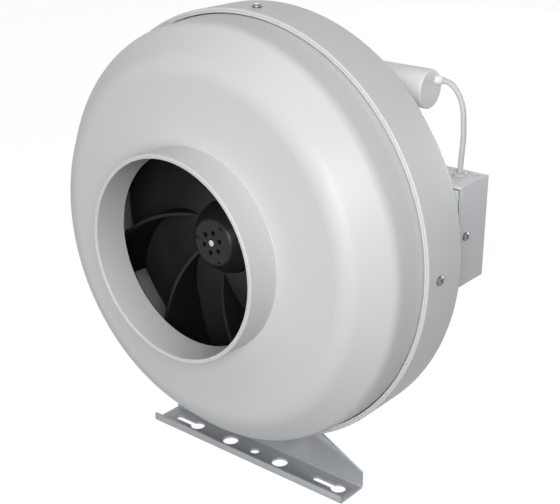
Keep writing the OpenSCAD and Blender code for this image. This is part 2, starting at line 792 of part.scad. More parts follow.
// Section of the rotor's nose, filled to the axis and set in by a wall
module nose_section(inset) {
    face_r = nose_d / 2 - inset;
    root = nose_root_d / 2 - inset;
    top = nose_tip + inset;
    taper = rotor_front - nose_root_len;
    polygon([
        [0, rotor_front + cut], [root, rotor_front + cut], [root, taper],
        [face_r, top + nose_round], [face_r - nose_round, top], [0, top]
    ]);
    translate([face_r - nose_round, top + nose_round]) circle(r = nose_round);
}

module rotor_cup() {
    vent_count = 6;
    vent_d = 3.4;
    vent_r = 7.4;
    slot_r = 15.6;
    boss_d = shaft_d + 3;
    boss_len = nose_taper_len;
    color(rotor_grey) on_axis() difference() {
        union() {
            rotate_extrude() difference() {
                union() {
                    translate([0, rotor_front]) square([rotor_d / 2, rotor_len]);
                    nose_section(0);
                }
                translate([0, rotor_front + rotor_t]) square([rotor_in_r, rotor_len]);
                difference() {
                    nose_section(rotor_t);
                    translate([0, nose_tip]) square([nose_d, nose_face_t]);
                }
                translate([0, rotor_front]) square([nose_root_d / 2 - rotor_t, rotor_t + cut]);
            }
            translate([0, 0, nose_tip + nose_face_t / 2]) cylinder(d = boss_d, h = boss_len);
        }
        translate([0, 0, shaft_step]) cylinder(d = shaft_d + 2 * seat_gap, h = boss_len + cut);
        translate([0, 0, nose_tip - cut]) cylinder(d = shaft_tip_d + 2 * seat_gap, h = boss_len);
        around([20 : 360 / vent_count : 379]) translate([vent_r, 0, nose_tip - cut])
            cylinder(d = vent_d, h = nose_face_t + 2 * cut);
        around([55, 175, 295]) translate([slot_r, -2, nose_tip - cut]) cube([1.4, 4, nose_face_t]);
    }
}

module rotor_core() {
    color("gray") on_axis() translate([0, 0, stack_front]) difference() {
        cylinder(r = rotor_in_r - seat_gap, h = stack_len);
        translate([0, 0, -cut]) cylinder(d = stator_d + 2 * air_gap, h = stack_len + 2 * cut);
    }
}

// One blade in plan: an arc of given radius from the hub past the rim
module blade_plan() {
    inner = [blade_root_r, 0];
    outer = impeller_d / 2 * [cos(blade_wrap), sin(blade_wrap)];
    chord = outer - inner;
    rise = sqrt(pow(blade_arc_r, 2) - pow(norm(chord) / 2, 2));
    centre = (inner + outer) / 2 + rise * [-chord[1], chord[0]] / norm(chord);
    intersection() {
        translate(centre) difference() {
            circle(r = blade_arc_r + blade_t / 2);
            circle(r = blade_arc_r - blade_t / 2);
        }
        rotate(atan2(centre[1], centre[0]) - 90) square(2 * impeller_d);
    }
}

// Space that the blades fill, from the shroud into the hub cone and the back plate
module blade_space() {
    sunk = plate_t / 2;
    tip_r = impeller_d / 2 - blade_set_in;
    root = blade_root_r - 2;
    polygon([
        [root, cone_tip_y + sunk], [root, cone_tip_y + sunk / 2], [eye_d / 2, plate_y - eye_w],
        [tip_r, plate_y - rim_w - blade_set_in * (eye_w - rim_w) / (impeller_d / 2 - eye_d / 2)],
        [tip_r, plate_y + sunk], [cone_r, plate_y + sunk]
    ]);
}

module impeller() {
    collar_in = rotor_d / 2 + seat_gap;
    collar_front = rotor_front - plate_t * 0.6;
    collar_back = rotor_front + rotor_len * 0.6;
    collar_t = 3;
    back_y = plate_y + plate_t;
    cone_back_y = cone_tip_y + plate_t * 1.2;
    color(black_plastic) on_axis() {
        rotate_extrude() polygon([
            [cone_tip_r, cone_tip_y], [cone_r, plate_y], [impeller_d / 2, plate_y],
            [impeller_d / 2, back_y], [cone_r, back_y], [cone_tip_r, cone_back_y]
        ]);
        intersection() {
            translate([0, 0, plate_y - eye_w - cut]) around([for (k = [0 : blade_count - 1])
                blade_phase + 360 * k / blade_count]) mirror([0, 1, 0])
                    linear_extrude(eye_w + plate_t + 2 * cut) blade_plan();
            rotate_extrude() blade_space();
        }
        translate([0, 0, collar_front]) difference() {
            cylinder(r = collar_in + collar_t, h = collar_back - collar_front);
            translate([0, 0, -cut]) cylinder(r = collar_in, h = collar_back - collar_front + 2 * cut);
        }
    }
}

// Front ring of the impeller: the eye's collar and the cone to the rim
module impeller_shroud() {
    eye_r = eye_d / 2;
    rim_r = impeller_d / 2;
    eye_y = plate_y - eye_w;
    rim_y = plate_y - rim_w;
    color(black_plastic) on_axis() rotate_extrude() polygon([
        [eye_r, eye_y - eye_len], [eye_r, eye_y], [rim_r, rim_y],
        [rim_r, rim_y - shroud_t * 1.15], [eye_r + shroud_t, eye_y - shroud_t * 0.5],
        [eye_r + shroud_t, eye_y - eye_len]
    ]);
}

// Tab of the box's base that the cover screw goes into
tab_h = 20;
tab_depth = cover_screw_back + 6;
cover_screw_d = 3.5;
cover_screw_len = 6;

module terminal_box_base() {
    side_in = box_in + box_t + box_gap;
    side_out = box_out - box_t - box_gap;
    inside_w = side_out - side_in;
    reach = box_depth - box_t - box_gap;
    seam_in = 6.3;
    seam_end = 4.7;
    color(box_grey) difference() {
        union() {
            translate([side_in, back_face, box_bottom]) cube([inside_w, box_t, box_h]);
            for (z = [box_bottom, box_top - box_t])
                translate([side_in, back_face, z]) cube([inside_w, reach, box_t]);
            for (x = [side_in, side_out - box_t])
                translate([x, back_face, box_mid_z - tab_h / 2]) cube([box_t, tab_depth, tab_h]);
        }
        through_back(motor_lead_x, box_rise, grommet_d);
        for (p = rivet_places) through_back(p[0], p[1], rivet_d + 2 * screw_clear);
        for (x = [side_in, side_out])
            translate([x, back_face + cover_screw_back, box_mid_z]) rotate([0, 90, 0])
                cylinder(d = cover_screw_d + 2 * seat_gap, h = 4 * box_t, center = true);
        translate([lead_x, lead_y, box_top - box_t - cut])
            cylinder(d = lead_neck_d + 2 * lead_gap, h = box_t + 2 * cut);
        translate([gland_x, gland_y, box_bottom - cut])
            cylinder(d = gland_d + 2 * screw_clear, h = box_t + 2 * cut);
        translate([side_in + seam_end, box_rear - seam_in, box_top - box_t - cut])
            cube([inside_w - 2 * seam_end, box_t, box_t + 2 * cut]);
    }
}

module terminal_box_cover() {
    flange_front = back_face + box_gap;
    color(box_grey) difference() {
        union() {
            translate([box_in, box_rear - box_t, box_bottom]) cube([box_w, box_t, box_h]);
            for (x = [box_in, box_out - box_t])
                translate([x, flange_front, box_bottom]) cube([box_t, box_rear - flange_front, box_h]);
        }
        for (x = [box_in, box_out])
            translate([x, back_face + cover_screw_back, box_mid_z]) rotate([0, 90, 0])
                cylinder(d = cover_screw_d + 2 * screw_clear, h = 4 * box_t, center = true);
    }
}

module terminal_box_screws() {
    head_d = 6.6;
    for (side = [0, 1])
        color(steel) translate([side == 0 ? box_in : box_out, back_face + cover_screw_back, box_mid_z])
            rotate([0, side == 0 ? -90 : 90, 0])
                pan_screw(cover_screw_d, head_d, head_d * 0.38, cover_screw_len);
}

module terminal_box_rivets() {
    tail_d = 6;
    tail_h = 1.6;
    color(steel) for (p = rivet_places)
        translate([p[0], back_face + box_t, axis_h + p[1]]) rotate([-90, 0, 0]) {
            pan_screw(rivet_d, rivet_d * 1.9, 1.4, box_t + sheet_t, recess = false);
            translate([0, 0, -box_t - sheet_t - tail_h]) cylinder(d = tail_d, h = tail_h);
        }
}

// Terminal block with a row of clamps
block_w = 17;
block_h = 50;
block_depth = 13;
block_gap = 8.6;
block_x = motor_lead_x + block_gap;
clamp_count = 5;
clamp_d = 5;

module block_clamps(d, h, lift) {
    pitch = block_h / clamp_count;
    for (i = [0 : clamp_count - 1], side = [-1, 1])
        translate([
            block_x + block_w / 2 + side * block_w / 4,
            back_face + box_t + block_depth - lift,
            box_mid_z - block_h / 2 + pitch * (i + 0.5)
        ]) rotate([-90, 0, 0]) cylinder(d = d, h = h);
}

module terminal_block() {
    color(white_plastic) difference() {
        translate([block_x, back_face + box_t, box_mid_z - block_h / 2])
            cube([block_w, block_depth, block_h]);
        block_clamps(clamp_d, block_depth, 5);
        for (i = [0 : clamp_count - 1])
            translate([block_x - cut, back_face + box_t + 4, box_mid_z + block_h / clamp_count * (i - 2)])
                rotate([0, 90, 0]) cylinder(d = 4, h = block_w + 2 * cut);
    }
}

module terminal_clamp_screws() {
    color(steel) difference() {
        block_clamps(clamp_d - 4 * seat_gap, 3, 5);
        for (i = [0 : clamp_count - 1], side = [-1, 1])
            translate([
                block_x + block_w / 2 + side * block_w / 4 - clamp_d / 2,
                back_face + box_t + block_depth - 3,
                box_mid_z + block_h / clamp_count * (i - 2) - 0.4
            ]) cube([clamp_d, 2, 0.8]);
    }
}

// Mains gland under the box, with its lock nut inside
gland_thread_len = 8;
gland_hex_h = 5;

module cable_gland() {
    cap_h = 12;
    cap_d = gland_d + 3;
    color(black_plastic) translate([gland_x, gland_y, box_bottom]) difference() {
        union() {
            translate([0, 0, -gland_hex_h]) cylinder(d = gland_d + 6, h = gland_hex_h, $fn = 6);
            cylinder(d = gland_d, h = gland_thread_len);
            translate([0, 0, -gland_hex_h - cap_h]) cylinder(d1 = gland_bore_d + 4, d2 = cap_d, h = 4);
            translate([0, 0, -gland_hex_h - cap_h + 4]) cylinder(d = cap_d, h = cap_h - 4);
        }
        translate([0, 0, -gland_hex_h - cap_h - cut])
            cylinder(d = gland_bore_d, h = gland_hex_h + cap_h + gland_thread_len + 2 * cut);
    }
}

module gland_locknut() {
    nut_h = 4;
    color(black_plastic) translate([gland_x, gland_y, box_bottom + box_t]) difference() {
        cylinder(d = gland_d + 6, h = nut_h, $fn = 6);
        translate([0, 0, -cut]) cylinder(d = gland_d + 2 * lead_gap, h = nut_h + 2 * cut);
    }
}

motor_lead_d = 5;

module motor_lead() {
    color("dimgray") lead(motor_route, motor_lead_d, 8);
}

// Rubber grommet in the hole that the casing's back and the box's base share
module motor_lead_grommet() {
    lip_d = grommet_d + 4;
    lip_h = 1.6;
    hole_d = motor_lead_d + 2 * lead_gap;
    wall = sheet_t + box_t;
    color(black_plastic) translate([motor_lead_x, inner_back, box_mid_z]) rotate([-90, 0, 0]) difference() {
        union() {
            translate([0, 0, -lip_h]) cylinder(d = lip_d, h = lip_h);
            cylinder(d = grommet_d - 2 * lead_gap, h = wall);
            translate([0, 0, wall]) cylinder(d = lip_d, h = lip_h);
        }
        translate([0, 0, -lip_h - cut]) cylinder(d = hole_d, h = wall + 2 * lip_h + 2 * cut);
    }
}

module capacitor_can() {
    edge_r = 1.2;
    r = capacitor_d / 2;
    color(paint_grey) translate([capacitor_in, capacitor_y, capacitor_z]) rotate([0, 90, 0])
        rotate_extrude() {
            square([r, capacitor_len - edge_r]);
            square([r - edge_r, capacitor_len]);
            translate([r - edge_r, capacitor_len - edge_r]) circle(r = edge_r);
        }
}

// Boss on the capacitor's end, tapering to the lead
module capacitor_boss() {
    foot_d = lead_d + 3;
    tip_d = lead_d + 1.6;
    foot_h = 1;
    color(white_plastic) translate([capacitor_out, boss_y, boss_z]) rotate([0, 90, 0]) difference() {
        union() {
            cylinder(d = foot_d, h = foot_h);
            translate([0, 0, foot_h]) cylinder(d1 = foot_d, d2 = tip_d, h = boss_len - foot_h);
        }
        translate([0, 0, -cut]) cylinder(d = lead_d + 2 * lead_gap, h = boss_len + 2 * cut);
    }
}

module capacitor_lead() {
    color(white_plastic) lead(capacitor_route, lead_d, 10);
}

// Grommet that the lead enters the box through
lead_neck_d = lead_d + 4;

module lead_grommet() {
    lip_d = lead_neck_d + 4;
    lip_h = 1.9;
    color(white_plastic) translate([lead_x, lead_y, box_top]) difference() {
        union() {
            cylinder(d1 = lip_d, d2 = lip_d - 2, h = lip_h);
            translate([0, 0, -box_t]) cylinder(d = lead_neck_d, h = box_t);
            translate([0, 0, -box_t - lip_h]) cylinder(d = lip_d, h = lip_h);
        }
        translate([0, 0, -box_t - lip_h - cut])
            cylinder(d = lead_d + 2 * lead_gap, h = box_t + 2 * lip_h + 2 * cut);
    }
}

// Band clip round the capacitor, with a foot on the casing's back
module capacitor_clip() {
    inner = capacitor_d / 2 + lead_gap;
    foot_end = clip_screw_z - 7;
    color(zinc) difference() {
        union() {
            translate([clip_mid_x, capacitor_y, capacitor_z]) rotate([0, 90, 0])
                cylinder(r = inner + clip_t, h = clip_w, center = true);
            translate([clip_mid_x - clip_w / 2, back_face, foot_end])
                cube([clip_w, clip_t, capacitor_z - foot_end]);
        }
        translate([clip_mid_x, capacitor_y, capacitor_z]) rotate([0, 90, 0])
            cylinder(r = inner, h = clip_w + 2 * cut, center = true);
        through_back(clip_mid_x, clip_screw_z - axis_h, clip_screw_d + 2 * screw_clear);
    }
}

module capacitor_clip_screw() {
    color(steel) translate([clip_mid_x, back_face + clip_t, clip_screw_z]) rotate([-90, 0, 0])
        pan_screw(clip_screw_d, casing_head_d, casing_head_d * 0.36, clip_screw_len);
}

front_casing();
rear_casing();
inlet_spigot();
outlet_spigot();
casing_screws();
casing_clip_nuts();
mounting_foot();
motor_support();
motor_support_screws();
motor_support_nuts();
motor_flange();
motor_flange_screws();
stator_core();
stator_windings();
front_bearing();
rear_bearing();
rotor_shaft();
shaft_circlip();
rotor_cup();
rotor_core();
impeller();
impeller_shroud();
terminal_box_base();
terminal_box_cover();
terminal_box_screws();
terminal_box_rivets();
terminal_block();
terminal_clamp_screws();
cable_gland();
gland_locknut();
motor_lead();
motor_lead_grommet();
capacitor_can();
capacitor_boss();
capacitor_lead();
lead_grommet();
capacitor_clip();
capacitor_clip_screw();
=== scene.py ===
import json
import math
import bpy
from mathutils import Matrix, Vector


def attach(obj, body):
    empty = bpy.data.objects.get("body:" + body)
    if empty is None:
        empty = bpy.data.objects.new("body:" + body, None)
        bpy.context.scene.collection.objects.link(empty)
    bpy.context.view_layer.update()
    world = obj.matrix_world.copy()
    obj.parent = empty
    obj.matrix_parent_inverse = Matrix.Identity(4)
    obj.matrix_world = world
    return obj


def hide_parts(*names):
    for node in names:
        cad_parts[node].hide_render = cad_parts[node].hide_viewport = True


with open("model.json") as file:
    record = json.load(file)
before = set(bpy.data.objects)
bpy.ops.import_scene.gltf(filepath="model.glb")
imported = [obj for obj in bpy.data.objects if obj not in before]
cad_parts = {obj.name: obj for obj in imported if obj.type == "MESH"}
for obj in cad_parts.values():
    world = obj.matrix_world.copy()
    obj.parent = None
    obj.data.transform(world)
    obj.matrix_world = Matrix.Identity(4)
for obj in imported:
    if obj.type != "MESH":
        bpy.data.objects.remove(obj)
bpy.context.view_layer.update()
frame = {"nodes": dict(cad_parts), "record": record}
cadNodes = frame["nodes"]
mm = 0.001
print("frame loaded,", len(cadNodes), "nodes")

# places that several pieces share, in millimetres
layout = {
    "axisHeight": 203.0,     # fan axis above the floor
    "bandRadius": 170.0,
    "bandFront": -20.55,
    "sheet": 1.2,
    "screwLine": -6.45,      # casing screws along the axis
}
fanCentre = (0, 0, layout["axisHeight"])
fanAxis = (0, 1, 0)
upAxis = (0, 0, 1)
sideAxis = (1, 0, 0)
toAxis = Matrix.Translation(Vector(fanCentre) * mm)

# points nearer than this are one, in metres
weld = {"outline": 1e-6, "solid": 2e-6}


def deselectAll():
    if bpy.context.mode != "OBJECT":
        bpy.ops.object.mode_set(mode="OBJECT")
    bpy.ops.object.select_all(action="DESELECT")


def pick(piece):
    deselectAll()
    piece.select_set(True)
    bpy.context.view_layer.objects.active = piece


def arc(centre, radius, startDeg, endDeg, count):
    # points along an arc of an outline
    out = []
    for i in range(count + 1):
        a = math.radians(startDeg + (endDeg - startDeg) * i / count)
        out.append((centre[0] + radius * math.cos(a), centre[1] + radius * math.sin(a)))
    return out


def tracePath(name, points):
    # one vertex, pulled from point to point; millimetres
    deselectAll()
    bpy.ops.mesh.primitive_plane_add(size=0.01)
    piece = bpy.context.object
    piece.name = name
    bpy.ops.object.mode_set(mode="EDIT")
    bpy.ops.mesh.select_all(action="SELECT")
    bpy.ops.mesh.merge(type="CENTER")
    bpy.ops.transform.translate(value=Vector(points[0]) * mm)
    for a, b in zip(points, points[1:]):
        step = (Vector(b) - Vector(a)) * mm
        bpy.ops.mesh.extrude_region_move(TRANSFORM_OT_translate={"value": step})
    bpy.ops.mesh.select_all(action="SELECT")
    return piece


def traceLoop(name, points):
    # the same, back to its first point
    piece = tracePath(name, list(points) + [points[0]])
    bpy.ops.mesh.remove_doubles(threshold=weld["outline"])
    return piece


def closeUp():
    bpy.ops.mesh.select_all(action="SELECT")
    bpy.ops.mesh.remove_doubles(threshold=weld["solid"])
    bpy.ops.mesh.normals_make_consistent(inside=False)
    bpy.ops.object.mode_set(mode="OBJECT")


def spinSolid(name, points, centre, axis, steps):
    # closed outline turned once round an axis
    piece = traceLoop(name, points)
    bpy.ops.mesh.spin(steps=steps, angle=2 * math.pi, center=Vector(centre) * mm, axis=axis)
    closeUp()
    return piece


def fanSpin(name, outline, steps):
    # outline given as radius and place along the fan axis
    points = [(r, y, layout["axisHeight"]) for r, y in outline]
    return spinSolid(name, points, fanCentre, fanAxis, steps)


def extrudeOutline(name, points, step):
    # closed flat outline, filled and pulled out
    piece = traceLoop(name, points)
    bpy.ops.mesh.edge_face_add()
    bpy.ops.mesh.extrude_region_move(TRANSFORM_OT_translate={"value": Vector(step) * mm})
    closeUp()
    return piece


def useModifier(piece, kind, **settings):
    pick(piece)
    mod = piece.modifiers.new(kind.lower(), kind)
    for key, value in settings.items():
        setattr(mod, key, value)
    bpy.ops.object.modifier_apply(modifier=mod.name)


def cutWith(piece, cutter, operation="DIFFERENCE"):
    useModifier(piece, "BOOLEAN", operation=operation, object=cutter, solver="EXACT")
    bpy.data.objects.remove(cutter)


def softenEdges(piece, width, angle=40):
    useModifier(piece, "BEVEL", width=width * mm, segments=2, limit_method="ANGLE",
                angle_limit=math.radians(angle), miter_outer="MITER_ARC")


def rod(name, centre, axis, diameter, length, sides=64):
    # round bar about its middle point
    deselectAll()
    turn = Vector(upAxis).rotation_difference(Vector(axis)).to_euler()
    bpy.ops.mesh.primitive_cylinder_add(vertices=sides, radius=diameter / 2 * mm,
                                        depth=length * mm, location=Vector(centre) * mm,
                                        rotation=turn)
    piece = bpy.context.object
    piece.name = name
    bpy.ops.object.transform_apply(location=True, rotation=True, scale=True)
    return piece


def block(name, low, high):
    # box between two corners
    deselectAll()
    low, high = Vector(low) * mm, Vector(high) * mm
    bpy.ops.mesh.primitive_cube_add(size=1, location=(low + high) / 2)
    piece = bpy.context.object
    piece.name = name
    piece.scale = high - low
    bpy.ops.object.transform_apply(location=True, rotation=True, scale=True)
    return piece


def fanTurn(angle):
    # angles run from X to Z, which is a negative turn about Y
    return toAxis @ Matrix.Rotation(-math.radians(angle), 4, "Y") @ toAxis.inverted()


def copyTo(piece, name, matrix):
    other = piece.copy()
    other.data = piece.data.copy()
    other.name = name
    bpy.context.scene.collection.objects.link(other)
    other.data.transform(matrix)
    return other


def joinAll(pieces):
    deselectAll()
    for piece in pieces:
        piece.select_set(True)
    bpy.context.view_layer.objects.active = pieces[0]
    bpy.ops.object.join()
    return bpy.context.object


def finishPiece(piece, name, body, material, nodes, smoothAngle=30):
    # without a material the piece keeps those it has
    pick(piece)
    bpy.ops.object.shade_smooth_by_angle(angle=math.radians(smoothAngle))
    piece.name = name
    piece.data.name = name
    if material:
        piece.data.materials.clear()
        piece.data.materials.append(material)
    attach(piece, body)
    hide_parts(*nodes)


cameraSetup = {
    "place": (539.5, -628.85, 510.8),
    "back": (0.5899, -0.7169, 0.3716),   # from the object towards the camera
    "lens": 72.44,
    "sensor": 36.0,
    "clip": (0.01, 50),                  # metres
}
deselectAll()
cameraTurn = Vector(cameraSetup["back"]).to_track_quat("Z", "Y").to_euler()
bpy.ops.object.camera_add(location=Vector(cameraSetup["place"]) * mm, rotation=cameraTurn)
camera = bpy.context.object
camera.name = "photoCamera"
camera.data.sensor_fit = "HORIZONTAL"
camera.data.sensor_width = cameraSetup["sensor"]
camera.data.lens = cameraSetup["lens"]
camera.data.clip_start, camera.data.clip_end = cameraSetup["clip"]
bpy.context.scene.camera = camera
print("camera set")


skinInputs = (("Tone", "NodeSocketColor", (0.5, 0.5, 0.5, 1)),
              ("Tint", "NodeSocketColor", (0.5, 0.5, 0.5, 1)),
              ("Grain", "NodeSocketFloat", 400.0), ("Patch", "NodeSocketFloat", 18.0),
              ("Gloss", "NodeSocketFloat", 0.35), ("Spread", "NodeSocketFloat", 0.1))
skinOutputs = (("Color", "NodeSocketColor"), ("Roughness", "NodeSocketFloat"),
               ("Height", "NodeSocketFloat"))


def newSkin(name):
    # node group with the sockets that all skins share
    group = bpy.data.node_groups.new(name, "ShaderNodeTree")
    for label, kind, value in skinInputs:
        socket = group.interface.new_socket(name=label, in_out="INPUT", socket_type=kind)
        socket.default_value = value
    for label, kind in skinOutputs:
        group.interface.new_socket(name=label, in_out="OUTPUT", socket_type=kind)
    inside = group.nodes.new("NodeGroupInput")
    coords = group.nodes.new("ShaderNodeTexCoord")
    return group, inside, coords.outputs["Object"]


def noiseNode(group, coords, scale, detail, roughness=0.5):
    noise = group.nodes.new("ShaderNodeTexNoise")
    noise.inputs["Detail"].default_value = detail
    noise.inputs["Roughness"].default_value = roughness
    group.links.new(coords, noise.inputs["Vector"])
    if isinstance(scale, (int, float)):
        noise.inputs["Scale"].default_value = scale
    else:
        group.links.new(scale, noise.inputs["Scale"])
    return noise.outputs["Fac"]


def mathNode(group, operation, *values):
    node = group.nodes.new("ShaderNodeMath")
    node.operation = operation
    for i, value in enumerate(values):
        if isinstance(value, (int, float)):
            node.inputs[i].default_value = value
        else:
            group.links.new(value, node.inputs[i])
    return node.outputs[0]


def mixNode(group, factor, first, second):
    # a colour mix has its sockets behind those of the other kinds
    node = group.nodes.new("ShaderNodeMix")
    node.data_type = "RGBA"
    for source, socket in ((factor, 0), (first, 6), (second, 7)):
        group.links.new(source, node.inputs[socket])
    return node.outputs[2]


def mappedCoords(group, coords, label, value):
    node = group.nodes.new("ShaderNodeMapping")
    node.inputs[label].default_value = value
    group.links.new(coords, node.inputs["Vector"])
    return node.outputs["Vector"]


def wireSkin(group, inside, share, drift, height):
    # share of the tint in the tone, drift of the gloss, height of the relief
    given = inside.outputs
    tone = mixNode(group, share, given["Tone"], given["Tint"])
    middle = mathNode(group, "SUBTRACT", drift, 0.5)
    gloss = mathNode(group, "MULTIPLY_ADD", middle, given["Spread"], given["Gloss"])
    outside = group.nodes.new("NodeGroupOutput")
    for source, label in ((tone, "Color"), (gloss, "Roughness"), (height, "Height")):
        group.links.new(source, outside.inputs[label])
    return group


def makePaintSkin():
    # powder coat: fine orange peel, slow drift of tone and gloss
    group, inside, coords = newSkin("paintSkin")
    speckScale, speckShare = 2600.0, 0.15
    drift = noiseNode(group, coords, inside.outputs["Patch"], detail=3.0)
    peel = noiseNode(group, coords, inside.outputs["Grain"], detail=2.0, roughness=0.4)
    speck = noiseNode(group, coords, speckScale, detail=1.0)
    height = mathNode(group, "MULTIPLY_ADD", speck, speckShare, peel)
    return wireSkin(group, inside, drift, drift, height)


def makeZincSkin():
    # galvanised sheet: spangle cells, rolling streaks along X
    group, inside, coords = newSkin("zincSkin")
    streakStretch, streakScale = (0.04, 1.0, 1.0), 900.0
    cellShare, streakShare, cloudShare = 0.25, 0.35, 0.4
    cells = group.nodes.new("ShaderNodeTexVoronoi")
    group.links.new(coords, cells.inputs["Vector"])
    group.links.new(inside.outputs["Grain"], cells.inputs["Scale"])
    cellTone = group.nodes.new("ShaderNodeSeparateColor")
    group.links.new(cells.outputs["Color"], cellTone.inputs["Color"])
    along = mappedCoords(group, coords, "Scale", streakStretch)
    streak = noiseNode(group, along, streakScale, detail=3.0)
    cloud = noiseNode(group, coords, inside.outputs["Patch"], detail=4.0)
    share = mathNode(group, "MULTIPLY", cloud, cloudShare)
    share = mathNode(group, "MULTIPLY_ADD", streak, streakShare, share)
    share = mathNode(group, "MULTIPLY_ADD", cellTone.outputs["Red"], cellShare, share)
    return wireSkin(group, inside, share, share, streak)


def makeMouldSkin():
    # moulded plastic and rubber: fine spark-eroded grain, faint flow marks
    group, inside, coords = newSkin("mouldSkin")
    grainShare, flowShare = 0.4, 0.6
    grain = noiseNode(group, coords, inside.outputs["Grain"], detail=3.0, roughness=0.6)
    flow = noiseNode(group, coords, inside.outputs["Patch"], detail=2.0)
    share = mathNode(group, "MULTIPLY", flow, flowShare)
    share = mathNode(group, "MULTIPLY_ADD", grain, grainShare, share)
    return wireSkin(group, inside, share, share, grain)


def makeWoundSkin():
    # enamelled wire laid round the motor axis
    group, inside, coords = newSkin("woundSkin")
    wires = group.nodes.new("ShaderNodeTexWave")
    wires.wave_type = "RINGS"
    wires.rings_direction = "Y"
    wires.inputs["Distortion"].default_value = 1.5
    centred = mappedCoords(group, coords, "Location", (0, 0, -layout["axisHeight"] * mm))
    group.links.new(centred, wires.inputs["Vector"])
    group.links.new(inside.outputs["Grain"], wires.inputs["Scale"])
    cloud = noiseNode(group, coords, inside.outputs["Patch"], detail=3.0)
    share = mathNode(group, "MULTIPLY", wires.outputs["Fac"], cloud)
    return wireSkin(group, inside, share, cloud, wires.outputs["Fac"])


paintSkin, zincSkin = makePaintSkin(), makeZincSkin()
mouldSkin, woundSkin = makeMouldSkin(), makeWoundSkin()


def finish(name, skin, tone, tint, grain, patch, gloss, spread=0.1, metallic=0.0, bump=0.1,
           depth=0.05, specular=0.5):
    # one skin with its own colours, scales and relief; depth in millimetres
    material = bpy.data.materials.new(name)
    material.use_nodes = True
    material.diffuse_color = (*tone, 1)
    tree = material.node_tree
    shader = tree.nodes["Principled BSDF"]
    shader.inputs["Metallic"].default_value = metallic
    shader.inputs["Specular IOR Level"].default_value = specular
    group = tree.nodes.new("ShaderNodeGroup")
    group.node_tree = skin
    for label, value in (("Tone", (*tone, 1)), ("Tint", (*tint, 1)), ("Grain", grain),
                         ("Patch", patch), ("Gloss", gloss), ("Spread", spread)):
        group.inputs[label].default_value = value
    relief = tree.nodes.new("ShaderNodeBump")
    relief.inputs["Strength"].default_value = bump
    relief.inputs["Distance"].default_value = depth * mm
    tree.links.new(group.outputs["Color"], shader.inputs["Base Color"])
    tree.links.new(group.outputs["Roughness"], shader.inputs["Roughness"])
    tree.links.new(group.outputs["Height"], relief.inputs["Height"])
    tree.links.new(relief.outputs["Normal"], shader.inputs["Normal"])
    return material


casingPaint = finish("casingPaint", paintSkin, (0.545, 0.555, 0.56), (0.565, 0.575, 0.578),
                     grain=420.0, patch=9.0, gloss=0.42)
boxBasePaint = finish("boxBasePaint", paintSkin, (0.645, 0.665, 0.68), (0.665, 0.685, 0.70),
                      grain=420.0, patch=22.0, gloss=0.36)
# the cover's paint is darker than the base's: partly the box's own tone, partly painted shade on
# the cover's sides, which stand behind the casing in less light
boxCoverShadedPaint = finish("boxCoverShadedPaint", paintSkin, (0.54, 0.56, 0.575), (0.56, 0.58, 0.595),
                  grain=420.0, patch=22.0, gloss=0.36)
rotorPaint = finish("rotorPaint", paintSkin, (0.012, 0.0127, 0.0138), (0.0165, 0.0172, 0.0183),
                    grain=600.0, patch=60.0, gloss=0.3, bump=0.15, specular=0.22)
zincSheet = finish("zincSheet", zincSkin, (0.37, 0.39, 0.41), (0.42, 0.44, 0.46),
                   grain=260.0, patch=28.0, gloss=0.44, spread=0.14, metallic=0.35, bump=0.06,
                   depth=0.02)
brightSteel = finish("brightSteel", zincSkin, (0.55, 0.55, 0.55), (0.68, 0.68, 0.68),
                     grain=900.0, patch=160.0, gloss=0.25, spread=0.12, metallic=1.0, bump=0.05,
                     depth=0.01)
screwZinc = finish("screwZinc", zincSkin, (0.20, 0.205, 0.21), (0.28, 0.285, 0.29),
                   grain=900.0, patch=160.0, gloss=0.28, spread=0.12, metallic=1.0, bump=0.05,
                   depth=0.01)
castAluminium = finish("castAluminium", mouldSkin, (0.52, 0.52, 0.53), (0.62, 0.62, 0.63),
                       grain=700.0, patch=60.0, gloss=0.45, spread=0.2, metallic=0.9, bump=0.2)
lamination = finish("lamination", zincSkin, (0.16, 0.16, 0.165), (0.22, 0.22, 0.225),
                    grain=1200.0, patch=80.0, gloss=0.45, spread=0.15, metallic=0.6, bump=0.2)
windingCopper = finish("windingCopper", woundSkin, (0.36, 0.15, 0.06), (0.55, 0.26, 0.12),
                       grain=260.0, patch=90.0, gloss=0.35, spread=0.15, metallic=0.8, bump=0.6,
                       depth=0.3)
clampBrass = finish("clampBrass", zincSkin, (0.55, 0.40, 0.16), (0.66, 0.50, 0.22),
                    grain=900.0, patch=120.0, gloss=0.3, spread=0.15, metallic=1.0, bump=0.05,
                    depth=0.01)
blackPlastic = finish("blackPlastic", mouldSkin, (0.017, 0.0175, 0.018), (0.022, 0.0225, 0.023),
                      grain=1500.0, patch=40.0, gloss=0.45, spread=0.12, specular=0.3)
# darker copy of the black plastic for the blades: painted shade on the blade faces, which lie
# unlit deep inside the fan
shadedBladePlastic = finish("shadedBladePlastic", mouldSkin, (0.005, 0.0053, 0.0055), (0.008, 0.0083, 0.0085),
                      grain=1500.0, patch=40.0, gloss=0.45, spread=0.12, specular=0.22)
whitePlastic = finish("whitePlastic", mouldSkin, (0.70, 0.71, 0.72), (0.76, 0.77, 0.77),
                      grain=1500.0, patch=80.0, gloss=0.4)
palePlastic = finish("palePlastic", mouldSkin, (0.65, 0.667, 0.672), (0.69, 0.705, 0.71),
                     grain=1200.0, patch=40.0, gloss=0.38)
whiteRubber = finish("whiteRubber", mouldSkin, (0.495, 0.50, 0.50), (0.53, 0.535, 0.535),
                     grain=1800.0, patch=70.0, gloss=0.45)
greyRubber = finish("greyRubber", mouldSkin, (0.47, 0.48, 0.485), (0.52, 0.53, 0.535),
                    grain=1800.0, patch=70.0, gloss=0.5)
darkRubber = finish("darkRubber", mouldSkin, (0.022, 0.022, 0.022), (0.032, 0.032, 0.032),
                    grain=1800.0, patch=70.0, gloss=0.6)
print("finishes made")

